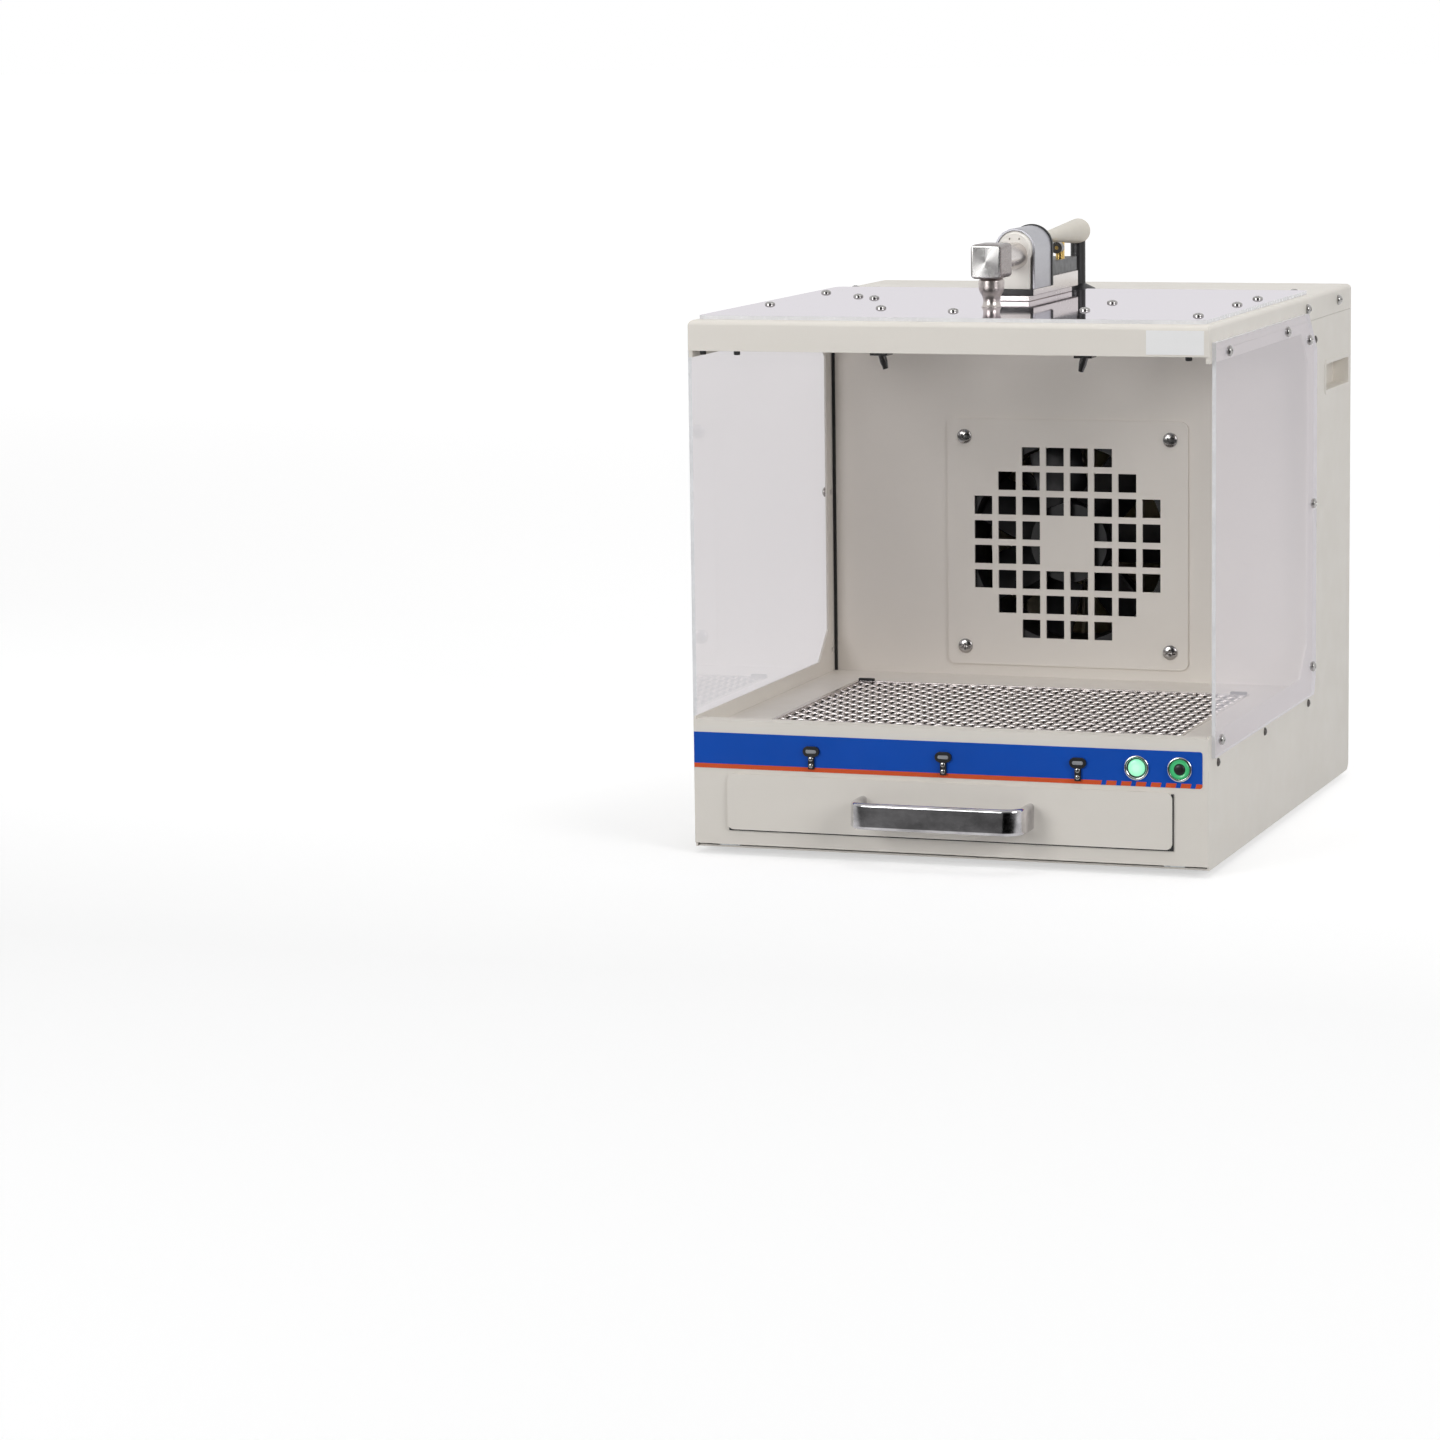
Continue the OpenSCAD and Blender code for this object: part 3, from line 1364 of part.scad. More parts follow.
module gun_base() {
    color(black) place() {
        plate_z = roof_z + base_foot_h;
        foot_w = base_w - 2 * base_foot_in;
        // Narrow foot below the plate
        box([-foot_w / 2, strap_y, roof_z], [foot_w / 2, rail_y + rail_l - base_foot_in, plate_z]);
        box([-base_w / 2, strap_y - base_nose, plate_z], [base_w / 2, rail_y + rail_l, base_top]);
        // Clamp rail behind the strap
        box([-base_w / 2, rail_y + run_gap, base_top], [base_w / 2, rail_y + rail_l, base_top + rail_h]);
    }
}

module gun_block() {
    color(steel) place() difference() {
        intersection() {
            slab_y(block_y, block_l) translate([0, gun_neck_z]) rounded_rect(block_w, block_h, block_r);
            slab_x(-block_w / 2, block_w) translate([nozzle_y, gun_neck_z])
                rounded_rect(block_l, block_h, block_r / 2);
            translate([0, nozzle_y, block_z]) linear_extrude(block_h)
                rounded_rect(block_w, block_l, block_r / 2);
        }
        // Air passage from the neck down to the nozzle
        rod_y(0, nozzle_y, gun_neck_z, 6, block_l);
        translate([0, nozzle_y, block_z - 1]) cylinder(d = 6, h = block_h / 2 + 1);
    }
}

module gun_nozzle() {
    r = nozzle_d / 2;
    s = nozzle_stem_d / 2;
    low = roof_z - nozzle_drop;
    color(steel) place() translate([0, nozzle_y, 0]) rotate_extrude() polygon([
        [2, low], [nozzle_tip_r, low], [s, low + 8], [s, roof_z],
        // Waisted part between roof window and front block
        for (p = nozzle_waist) [r * p[0], roof_z + nozzle_h * p[1]],
        [r - 1.5, roof_z + nozzle_h], [2, roof_z + nozzle_h]
    ]);
}

module gun_barrel() {
    color(steel) place() difference() {
        union() {
            rod_y(0, block_y + block_l, gun_neck_z, neck_d, neck_l + 1);
            rod_y(0, barrel_y + barrel_chamfer, gun_z, gun_d, gun_l - barrel_chamfer);
            translate([0, barrel_y, gun_z]) rotate([-90, 0, 0])
                cylinder(d1 = gun_d - 2 * barrel_chamfer, d2 = gun_d, h = barrel_chamfer);
            // Pedestal between barrel and base plate
            box([-pedestal_w / 2, strap_y, base_top], [pedestal_w / 2, strap_y + strap_l, gun_z]);
        }
        // Two small holes in its front face
        for (x = [-1, 1]) rod_y(x * 3.8, barrel_y - 1, gun_z + 8, 1.6, 4);
    }
}

// Inverted U of flat strip over the barrel, from radius to radius
module saddle(y0, length, r_in, r_out, low) {
    slab_y(y0, length) {
        translate([0, gun_z]) intersection() {
            difference() {
                circle(r_out);
                circle(r_in);
            }
            translate([-r_out, 0]) square([2 * r_out, r_out]);
        }
        for (side = [-r_out, r_in]) translate([side, low]) square([r_out - r_in, gun_z - low]);
    }
}

module gun_strap() {
    color(steel) place() {
        saddle(strap_y, strap_l, strap_r, strap_r + strap_t, base_top);
        // Edging along the strap's rear
        saddle(strap_y + strap_l, edging_l, strap_r, strap_r + strap_t + 1, base_top);
    }
}

module gun_rear_block() {
    y0 = rail_y + run_gap;
    color([0.22, 0.23, 0.25]) place() {
        box([-rear_block_w / 2, y0, rear_block_z],
            [rear_block_w / 2, rail_y + rail_l + rear_block_over, rear_top]);
        // Flow valve with the knob's spindle
        translate([valve_x, valve_y, rear_top]) cylinder(d = valve_d, h = valve_z + valve_cap - rear_top);
        rod_y(valve_x, valve_y - knob_l - valve_d / 2, valve_z, spindle_d, knob_l + valve_d / 2);
    }
}

module flow_knob() {
    y0 = valve_y - valve_d / 2 - run_gap - knob_l;
    color([0.85, 0.86, 0.88]) place() difference() {
        rod_y(valve_x, y0, valve_z, knob_d, knob_l);
        rod_y(valve_x, y0 - 1, valve_z, spindle_d + 2 * bearing_gap, knob_l + 2);
        // Index notch
        translate([valve_x - 0.4, y0 - 1, valve_z + knob_d / 2 - 1]) cube([0.8, 2.5, 2]);
    }
}

module air_pipe() {
    color([0.88, 0.86, 0.80]) place() {
        cone_y = pipe_y + pipe_straight;
        rod_y(0, pipe_y, pipe_z, pipe_d, pipe_straight);
        // It widens towards the elbow
        translate([0, cone_y, pipe_z]) rotate([-90, 0, 0])
            cylinder(d1 = pipe_d, d2 = elbow_d, h = post_y - cone_y);
        translate([0, post_y, pipe_z]) sphere(d = elbow_d);
        // Post with its foot on the lid, down into the manifold
        translate([0, post_y, post_low]) cylinder(d = post_d, h = pipe_z - post_low);
        translate([0, post_y, housing_h]) {
            cylinder(d = post_foot_d, h = 1.5);
            translate([0, 0, 1.5]) cylinder(d1 = post_foot_d, d2 = post_d, h = post_foot_h);
        }
    }
}

module rubber_feet() {
    color(black) place() at_feet() {
        translate([0, 0, -foot_h]) cylinder(d1 = foot_d - 3, d2 = foot_d, h = foot_h);
        // Stem through the pan with its snap-in bulb
        cylinder(d = screw_d, h = sheet_t + 1);
        translate([0, 0, sheet_t]) cylinder(d1 = screw_d + 3, d2 = screw_d, h = 4);
    }
}

base_pan();
front_panel();
side_panel_left();
side_panel_right();
rear_panel();
top_cover();
back_wall();
work_deck();
wire_screen();
roof_window();
side_window_left();
side_window_right();
side_window_screws();
roof_screws();
lid_screws();
rivets();
control_strip();
bare_label();
sensor_bezels();
sensor_lenses();
sensor_screws();
start_bezel();
start_cap();
power_bezel();
power_ring();
power_plunger();
button_nuts();
drawer_front();
drawer_tray();
drawer_handle();
handle_screws();
runner_left();
runner_right();
grille_plate();
grille_screws();
fan_frame();
fan_impeller();
filter_housing();
filter_cartridge();
power_supply();
ion_supply();
control_board();
air_manifold();
solenoid_valve();
air_tubes();
side_nozzle_left();
side_nozzle_right();
air_inlet();
mains_inlet();
grip_left();
grip_right();
gun_base();
gun_block();
gun_nozzle();
gun_barrel();
gun_strap();
gun_rear_block();
flow_knob();
air_pipe();
rubber_feet();
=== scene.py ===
"""Looks of the ionizing dust removal box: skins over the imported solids, materials, light and camera."""
import json
import math

import bmesh
import bpy
from mathutils import Matrix, Vector

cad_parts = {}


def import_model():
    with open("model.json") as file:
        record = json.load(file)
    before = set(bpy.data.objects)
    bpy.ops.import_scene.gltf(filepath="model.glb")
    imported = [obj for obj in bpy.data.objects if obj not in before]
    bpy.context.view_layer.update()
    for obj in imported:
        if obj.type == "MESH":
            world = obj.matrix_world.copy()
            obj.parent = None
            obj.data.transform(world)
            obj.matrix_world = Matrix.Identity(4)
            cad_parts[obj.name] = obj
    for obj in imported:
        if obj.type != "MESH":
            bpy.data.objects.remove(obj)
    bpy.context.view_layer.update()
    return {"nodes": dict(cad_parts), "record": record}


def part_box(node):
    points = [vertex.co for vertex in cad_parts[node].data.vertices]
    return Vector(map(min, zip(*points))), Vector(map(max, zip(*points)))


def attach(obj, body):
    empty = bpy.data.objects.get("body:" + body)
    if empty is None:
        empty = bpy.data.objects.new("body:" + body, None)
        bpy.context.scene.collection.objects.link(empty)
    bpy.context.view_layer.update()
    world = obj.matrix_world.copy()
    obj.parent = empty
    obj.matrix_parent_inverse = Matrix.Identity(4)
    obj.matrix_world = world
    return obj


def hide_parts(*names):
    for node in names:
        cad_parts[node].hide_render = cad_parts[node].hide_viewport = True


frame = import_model()

MM = 0.001
X, Y, Z = 0, 1, 2
LOW, HIGH = 0, 1
EVEN = (1, 1, 1)

NODES = frame["nodes"]
BODY_OF = {n: body for body, nodes in frame["record"]["behaviour"]["bodies"].items() for n in nodes}
SLOT_OF = {part["node"]: part["material_slot"] for part in frame["record"]["subparts"]}


# Node helpers for the materials

# Numbers of the Mix node's sockets
MIX_VALUES = (2, 3)
MIX_COLORS = (6, 7)
MIX_COLOR_OUT = 2


def linear(r, g, b):
    """A colour given as 0 to 255 screen values, in the renderer's linear values."""
    def one(v):
        v /= 255
        return v / 12.92 if v <= 0.04045 else ((v + 0.055) / 1.055) ** 2.4
    return (one(r), one(g), one(b))


def shade(color, factor):
    """The colour made lighter or darker."""
    return tuple(min(1.0, c * factor) for c in color)


def new_material(name, color, rough, metal=0.0, **sockets):
    """A Principled material; further sockets are named with _ for a space."""
    mat = bpy.data.materials.new(name)
    mat.use_nodes = True
    bsdf = mat.node_tree.nodes["Principled BSDF"]
    bsdf.inputs["Base Color"].default_value = (*color, 1)
    bsdf.inputs["Roughness"].default_value = rough
    bsdf.inputs["Metallic"].default_value = metal
    for key, value in sockets.items():
        bsdf.inputs[key.replace("_", " ")].default_value = value
    return mat, mat.node_tree, bsdf


def add(tree, kind, inputs=(), **props):
    """A node with its properties set and its inputs linked or set."""
    node = tree.nodes.new(kind)
    for key, value in props.items():
        setattr(node, key, value)
    for key, value in dict(inputs).items():
        if isinstance(value, bpy.types.NodeSocket):
            tree.links.new(value, node.inputs[key])
        else:
            node.inputs[key].default_value = value
    return node


def place_of(tree, stretch=EVEN, origin=(0, 0, 0)):
    """Metres in the part's frame from an origin, stretched along each axis."""
    where = add(tree, "ShaderNodeTexCoord").outputs["Object"]
    moved = add(tree, "ShaderNodeVectorMath", {0: where, 1: origin}, operation="SUBTRACT")
    return add(tree, "ShaderNodeVectorMath", {0: moved.outputs[0], 1: stretch},
               operation="MULTIPLY").outputs[0]


def about_y(tree, centre):
    """Offset from the Y axis through the centre, and the length of this offset."""
    offset = place_of(tree, (1, 0, 1), centre)
    return offset, add(tree, "ShaderNodeVectorMath", {0: offset}, operation="LENGTH").outputs["Value"]


def split(tree, vector):
    """The X, Y and Z of a vector."""
    return add(tree, "ShaderNodeSeparateXYZ", {0: vector}).outputs


def noise(tree, per_metre, detail, stretch=EVEN):
    """Noise of so many grains in a metre; a small stretch along an axis makes long grains on it."""
    return add(tree, "ShaderNodeTexNoise",
               {"Vector": place_of(tree, stretch), "Scale": per_metre, "Detail": detail}).outputs["Fac"]


def math_node(tree, operation, a, b=0.0):
    return add(tree, "ShaderNodeMath", {0: a, 1: b}, operation=operation).outputs[0]


def spread(tree, value, low, high, start=0.3, end=0.7):
    """value's range from start to end, mapped to low and high; noise mostly lies in the range given here."""
    return add(tree, "ShaderNodeMapRange", {
        "Value": value, "From Min": start, "From Max": end, "To Min": low, "To Max": high}).outputs[0]


def mix_color(tree, fac, a, b):
    """Colour a where fac is 0, and colour b where it is 1."""
    inputs = {0: fac}
    for index, color in zip(MIX_COLORS, (a, b)):
        inputs[index] = color if isinstance(color, bpy.types.NodeSocket) else (*color, 1)
    return add(tree, "ShaderNodeMix", inputs, data_type="RGBA").outputs[MIX_COLOR_OUT]


def mix_value(tree, fac, a, b):
    """Value a where fac is 0, and value b where it is 1."""
    return add(tree, "ShaderNodeMix", {0: fac, MIX_VALUES[0]: a, MIX_VALUES[1]: b}).outputs[0]


def mix_shader(tree, fac, a, b):
    """Shader a where fac is 0, and shader b where it is 1."""
    return add(tree, "ShaderNodeMixShader", {0: fac, 1: a, 2: b}).outputs[0]


def show(tree, shader):
    """Makes the shader the material's surface."""
    tree.links.new(shader, tree.nodes["Material Output"].inputs["Surface"])


def bump(tree, bsdf, height, depth, strength):
    """Adds a bump of the given depth in metres on top of those before it."""
    node = add(tree, "ShaderNodeBump", {"Height": height, "Distance": depth, "Strength": strength})
    before = bsdf.inputs["Normal"].links
    if before:
        tree.links.new(before[0].from_socket, node.inputs["Normal"])
    tree.links.new(node.outputs[0], bsdf.inputs["Normal"])


def wander(tree, bsdf, color, amount, per_metre, rough, rough_span, stretch=EVEN):
    """Uneven colour and roughness, as on any real surface."""
    detail = 4
    finer = 7
    blot = noise(tree, per_metre, detail, stretch)
    tone = mix_color(tree, spread(tree, blot, 0, 1), shade(color, 1 - amount), shade(color, 1 + amount))
    tree.links.new(tone, bsdf.inputs["Base Color"])
    grain = noise(tree, per_metre * finer, detail, stretch)
    tree.links.new(spread(tree, grain, rough - rough_span, rough + rough_span), bsdf.inputs["Roughness"])


# Materials

def powder_coat():
    """Cream powder coat with a little orange peel."""
    color = linear(229, 224, 216)
    rough = 0.44
    mat, tree, bsdf = new_material("powder_coat", color, rough)
    wander(tree, bsdf, color, amount=0.018, per_metre=9, rough=rough, rough_span=0.07)
    bump(tree, bsdf, noise(tree, per_metre=650, detail=2), depth=0.12 * MM, strength=0.35)
    bump(tree, bsdf, noise(tree, per_metre=2600, detail=2), depth=0.04 * MM, strength=0.35)
    return mat


def clear_sheet():
    """Polished acrylic sheet: it tints what is behind it and mirrors more at a slant."""
    tint_color = (0.90, 0.888, 0.897)
    gloss_color = (0.86, 0.83, 0.87)
    acrylic_ior = 1.49
    both_faces = 1.5
    mat, tree, bsdf = new_material("clear_sheet", tint_color, rough=0)
    tree.nodes.remove(bsdf)
    tint = add(tree, "ShaderNodeBsdfTransparent", {"Color": (*tint_color, 1)}).outputs[0]
    smear = spread(tree, noise(tree, per_metre=14, detail=5, stretch=(1, 1, 0.3)), low=0.015, high=0.075)
    gloss = add(tree, "ShaderNodeBsdfGlossy", {"Color": (*gloss_color, 1), "Roughness": smear}).outputs[0]
    slant = add(tree, "ShaderNodeFresnel", {"IOR": acrylic_ior}).outputs[0]
    outside = math_node(tree, "SUBTRACT", 1.0, add(tree, "ShaderNodeNewGeometry").outputs["Backfacing"])
    share = math_node(tree, "MULTIPLY", math_node(tree, "MULTIPLY", slant, both_faces), outside)
    show(tree, mix_shader(tree, share, tint, gloss))
    return mat


def clear_edge():
    """Sawn and flamed edge of the acrylic, which gathers light."""
    color = (0.80, 0.80, 0.82)
    rough = 0.24
    mat, tree, bsdf = new_material("clear_edge", color, rough, Alpha=0.95)
    wander(tree, bsdf, color, amount=0.05, per_metre=60, rough=rough, rough_span=0.08)
    saw_marks = noise(tree, per_metre=900, detail=2, stretch=(1, 0.2, 0.2))
    bump(tree, bsdf, saw_marks, depth=0.08 * MM, strength=0.4)
    return mat


def metal(name, color, rough, per_metre, depth=0.03 * MM, uneven=0.12, streak=EVEN):
    """Metal with draw or brush marks; a small streak along an axis makes long marks on it."""
    rough_span = rough * min(0.3, 2.5 * uneven)
    blots_per_mark = 1 / 8
    mat, tree, bsdf = new_material(name, color, rough, metal=1.0)
    wander(tree, bsdf, color, uneven, per_metre * blots_per_mark, rough, rough_span, streak)
    bump(tree, bsdf, noise(tree, per_metre, detail=3, stretch=streak), depth, strength=0.5)
    return mat


def woven_wire():
    """Drawn wire with painted shade: its colour goes dark from the crests of the weave down into its troughs,
    where the wires dip under each other.
    """
    color = (0.80, 0.75, 0.73)
    # Colour of the painted shade in the troughs of the weave
    painted_trough_shade = shade(color, 0.08)
    dark_z = WEAVE_Z - 0.5 * MM
    bright_z = WEAVE_Z + 1.5 * MM
    mat = metal("woven_wire", color, rough=0.22, per_metre=1400)
    tree = mat.node_tree
    bsdf = tree.nodes["Principled BSDF"]
    tone = bsdf.inputs["Base Color"].links[0].from_socket
    out_of_shade_share = spread(tree, split(tree, place_of(tree))["Z"], 0, 1, dark_z, bright_z)
    tree.links.new(mix_color(tree, out_of_shade_share, painted_trough_shade, tone), bsdf.inputs["Base Color"])
    return mat


def polished_bar():
    """Hand-polished bar, uneven in tone and a little wavy."""
    color = (0.64, 0.625, 0.64)
    mat = metal("polished_bar", color, rough=0.13, per_metre=520, uneven=0.35, streak=(0.7, 1, 1))
    tree = mat.node_tree
    waves = noise(tree, per_metre=45, detail=2)
    bump(tree, tree.nodes["Principled BSDF"], waves, depth=0.6 * MM, strength=0.5)
    return mat


def turned_metal(centre):
    """Face turned on a lathe: fine rings about the Y axis through the centre, with a painted reflection that
    darkens it to the sides of its middle.
    """
    color = (0.744, 0.732, 0.72)
    rings_per_metre = 2600
    painted_dark_from = 0.55
    mat, tree, bsdf = new_material("turned_face", color, rough=0.26, metal=1.0, Anisotropic=0.75)
    offset, radius = about_y(tree, centre)
    rings = add(tree, "ShaderNodeTexNoise", {"W": radius, "Scale": rings_per_metre, "Detail": 2.0},
                noise_dimensions="1D").outputs["Fac"]
    tone = mix_color(tree, spread(tree, rings, 0, 1), shade(color, 0.9), shade(color, 1.08))
    # Painted reflection: such a face mirrors light above and below its middle and looks dull to its sides, so
    # the colour is darkened to the sides
    aside = math_node(tree, "ABSOLUTE", split(tree, offset)["X"])
    sector = math_node(tree, "DIVIDE", aside, math_node(tree, "MAXIMUM", radius, 0.01 * MM))
    painted_side_dark = spread(tree, sector, 0, 1, painted_dark_from, 1.0)
    tree.links.new(mix_color(tree, painted_side_dark, tone, shade(color, 0.45)), bsdf.inputs["Base Color"])
    bump(tree, bsdf, rings, depth=0.03 * MM, strength=0.4)
    around = add(tree, "ShaderNodeTangent", direction_type="RADIAL", axis="Y")
    tree.links.new(around.outputs[0], bsdf.inputs["Tangent"])
    return mat


def plastic(name, color, rough, per_metre=1500, depth=0.06 * MM, uneven=0.06, **sockets):
    """Moulded plastic with a fine texture."""
    mat, tree, bsdf = new_material(name, color, rough, **sockets)
    wander(tree, bsdf, color, uneven, per_metre=25, rough=rough, rough_span=0.07)
    bump(tree, bsdf, noise(tree, per_metre, detail=2), depth, strength=0.4)
    return mat


def printed_strip():
    """Blue film with an orange line along its foot, which ends in dashes on the right."""
    blue = linear(15, 79, 182)
    orange = linear(216, 89, 48)
    line_h = 3.4 * MM
    dash_x = 118.7 * MM
    dash_pitch = 11.27 * MM
    dash_share = 0.67
    dash_lean = -0.25
    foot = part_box("control_strip")[LOW].z
    mat, tree, bsdf = new_material("printed_strip", blue, rough=0.34, Specular_IOR_Level=0.15)
    here = split(tree, place_of(tree, EVEN, (0, 0, foot)))
    in_line = math_node(tree, "LESS_THAN", here["Z"], line_h)
    solid = math_node(tree, "LESS_THAN", here["X"], dash_x)
    # Each dash leans, so its ends are cut at a slant
    lean = math_node(tree, "ADD", here["X"], math_node(tree, "MULTIPLY", here["Z"], dash_lean))
    turns = math_node(tree, "DIVIDE", math_node(tree, "SUBTRACT", lean, dash_x), dash_pitch)
    gap_first = math_node(tree, "GREATER_THAN", math_node(tree, "FRACT", turns), 1 - dash_share)
    line = math_node(tree, "MULTIPLY", in_line, math_node(tree, "MAXIMUM", solid, gap_first))
    blot = spread(tree, noise(tree, per_metre=18, detail=3), 0, 1)
    field = mix_color(tree, blot, shade(blue, 0.95), shade(blue, 1.05))
    print_tone = mix_color(tree, blot, shade(orange, 0.95), shade(orange, 1.03))
    tree.links.new(mix_color(tree, line, field, print_tone), bsdf.inputs["Base Color"])
    gloss = spread(tree, noise(tree, per_metre=120, detail=3), low=0.28, high=0.42)
    tree.links.new(gloss, bsdf.inputs["Roughness"])
    bump(tree, bsdf, noise(tree, per_metre=1800, detail=2), depth=0.03 * MM, strength=0.3)
    return mat


def lamp_lens(name, node, middle, rim, strength):
    """Lit button part, brighter at its middle."""
    low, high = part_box(node)
    width = high.x - low.x
    bright_to = 0.15 * width
    rim_from = 0.52 * width
    mat, tree, bsdf = new_material(name, shade(rim, 0.5), rough=0.25, Coat_Weight=0.4)
    radius = about_y(tree, (low + high) / 2)[1]
    out = spread(tree, radius, 0, 1, bright_to, rim_from)
    tree.links.new(mix_color(tree, out, middle, rim), bsdf.inputs["Emission Color"])
    bsdf.inputs["Emission Strength"].default_value = strength
    bump(tree, bsdf, noise(tree, per_metre=900, detail=2), depth=0.04 * MM, strength=0.2)
    return mat


def spangled_zinc():
    """Galvanized sheet, in patches of crystals."""
    color = (0.56, 0.58, 0.60)
    spangles_per_metre = 90
    mat, tree, bsdf = new_material("spangled_zinc", color, rough=0.4, metal=1.0)
    cells = add(tree, "ShaderNodeTexVoronoi", {"Vector": place_of(tree), "Scale": spangles_per_metre})
    value = add(tree, "ShaderNodeSeparateColor", {0: cells.outputs["Color"]}).outputs[0]
    tone = mix_color(tree, value, shade(color, 0.8), shade(color, 1.2))
    tree.links.new(tone, bsdf.inputs["Base Color"])
    tree.links.new(spread(tree, value, 0.3, 0.5, start=0, end=1), bsdf.inputs["Roughness"])
    bump(tree, bsdf, noise(tree, per_metre=500, detail=3), depth=0.04 * MM, strength=0.3)
    return mat


def pleated_paper():
    """Filter paper with upright fibres."""
    color = linear(228, 220, 200)
    rough = 0.88
    mat, tree, bsdf = new_material("pleated_paper", color, rough)
    wander(tree, bsdf, color, amount=0.05, per_metre=40, rough=rough, rough_span=0.06)
    fibres = noise(tree, per_metre=1200, detail=5, stretch=(1, 1, 0.4))
    bump(tree, bsdf, fibres, depth=0.2 * MM, strength=0.5)
    return mat


def circuit_board():
    """Green board with a pattern of tracks."""
    green = linear(22, 92, 58)
    mat, tree, bsdf = new_material("circuit_board", green, rough=0.35, Coat_Weight=0.3)
    tracks = add(tree, "ShaderNodeTexBrick", {
        "Vector": place_of(tree), "Scale": 160.0, "Mortar Size": 0.05,
        "Color1": (*green, 1), "Color2": (*shade(green, 0.85), 1),
        "Mortar": (*shade(green, 1.7), 1)})
    tree.links.new(tracks.outputs["Color"], bsdf.inputs["Base Color"])
    bump(tree, bsdf, tracks.outputs["Fac"], depth=0.05 * MM, strength=0.4)
    gloss = spread(tree, noise(tree, per_metre=90, detail=3), low=0.28, high=0.45)
    tree.links.new(gloss, bsdf.inputs["Roughness"])
    return mat


gun_low, gun_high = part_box("gun_block")
gun_axis = (gun_low + gun_high) / 2
WEAVE_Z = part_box("wire_screen")[HIGH].z - 2.6 * MM
MILLED = {"per_metre": 500, "depth": 0.003 * MM, "uneven": 0.05, "streak": (1, 0.2, 1)}

PAINT = powder_coat()
CLEAR = clear_sheet()
EDGE = clear_edge()
WIRE = metal("drawn_wire", (0.74, 0.70, 0.69), rough=0.20, per_metre=1400)
WOVEN = woven_wire()
RIVET = metal("dark_rivet", (0.11, 0.10, 0.095), rough=0.30, per_metre=1600, depth=0.01 * MM, uneven=0.1)
SCREW = metal("nickel", (0.44, 0.43, 0.42), rough=0.17, per_metre=1600, depth=0.02 * MM)
STRIP = printed_strip()
LABEL = plastic("bare_film", linear(240, 240, 240), rough=0.42, per_metre=900, depth=0.02 * MM, uneven=0.015)
BLACK = plastic("black_moulding", (0.009, 0.009, 0.010), rough=0.40)
LENS = plastic("sensor_window", linear(150, 152, 156), rough=0.14, per_metre=500, depth=0.02 * MM,
               uneven=0.05, Coat_Weight=0.6)
CHROME = metal("bright_chrome", (0.74, 0.74, 0.75), rough=0.13, per_metre=2200, depth=0.01 * MM, uneven=0.04)
MINT = lamp_lens("lit_mint", "start_cap", middle=(0.62, 1.0, 0.78), rim=(0.26, 0.86, 0.50), strength=0.8)
GREEN = lamp_lens("lit_green", "power_ring", middle=(0.10, 0.62, 0.24), rim=(0.03, 0.34, 0.12), strength=0.75)
BAR = polished_bar()
GUN = metal("machined_steel", (0.72, 0.675, 0.655), rough=0.25, **MILLED)
BLOCK = metal("milled_block", (0.285, 0.250, 0.243), rough=0.27, **MILLED)
NOZZLE = metal("satin_nozzle", (0.60, 0.55, 0.525), rough=0.30, per_metre=2000, depth=0.01 * MM, uneven=0.08)
STRAP = metal("satin_strap", (0.51, 0.51, 0.545), rough=0.38, per_metre=1500, uneven=0.05, streak=(1, 0.2, 1))
DARK = metal("dark_chrome", (0.16, 0.155, 0.155), rough=0.16, per_metre=2000, depth=0.01 * MM, uneven=0.1)
TURNED = turned_metal(gun_axis)
ZINC = spangled_zinc()
PAPER = pleated_paper()
ALUMINIUM = metal("satin_aluminium", (0.70, 0.71, 0.73), rough=0.42, per_metre=1200, depth=0.04 * MM,
                  streak=(1, 0.1, 1))
POTTING = plastic("cast_resin", linear(62, 63, 66), rough=0.36, per_metre=400, depth=0.12 * MM)
BOARD = circuit_board()
TUBE = plastic("air_tube", linear(38, 74, 150), rough=0.28, per_metre=600, depth=0.03 * MM, uneven=0.05)
PIPE = plastic("cream_pipe", linear(214, 208, 196), rough=0.36, per_metre=700, depth=0.05 * MM, uneven=0.03)
CREAM = plastic("cream_bracket", linear(247, 243, 236), rough=0.40, per_metre=700, depth=0.05 * MM,
                uneven=0.03)
# Dark tray floor: painted shade under the screen, which shows through the gaps of the weave
PAINTED_SHADE_TRAY = plastic("tray_floor_painted_shade", linear(46, 44, 43), rough=0.55, per_metre=900, uneven=0.08)
# Black rubber, also used for the painted shade strips at the drawer front and along the chamber's rear
# corners
RUBBER_AND_PAINTED_SHADE = plastic("rubber", (0.022, 0.022, 0.022), rough=0.75, per_metre=2200, depth=0.1 * MM)
BRASS = metal("brass", (0.72, 0.50, 0.17), rough=0.26, per_metre=1500, depth=0.02 * MM)

# Finish of each slot, for the pieces that are given no finish of their own
SLOT_MATERIAL = {
    "paint": PAINT, "screw": SCREW, "strip": STRIP, "label": LABEL, "black_plastic": BLACK, "lens": LENS,
    "zinc": ZINC, "paper": PAPER, "aluminium": ALUMINIUM, "potting": POTTING, "board": BOARD, "tube": TUBE,
    "rubber": RUBBER_AND_PAINTED_SHADE}


# Mesh helpers

SHARP = math.radians(32)
FLAT = math.radians(0.6)
NEAR = 0.01 * MM
SPLIT = 0.002 * MM
TINY = 0.001 * MM


def finish_piece(obj, node):
    """The piece stands for this node and moves with its body."""
    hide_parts(node)
    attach(obj, BODY_OF[node])


def new_object(name, mesh, *materials):
    for mat in materials:
        mesh.materials.append(mat)
    obj = bpy.data.objects.new(name, mesh)
    bpy.context.scene.collection.objects.link(obj)
    return obj


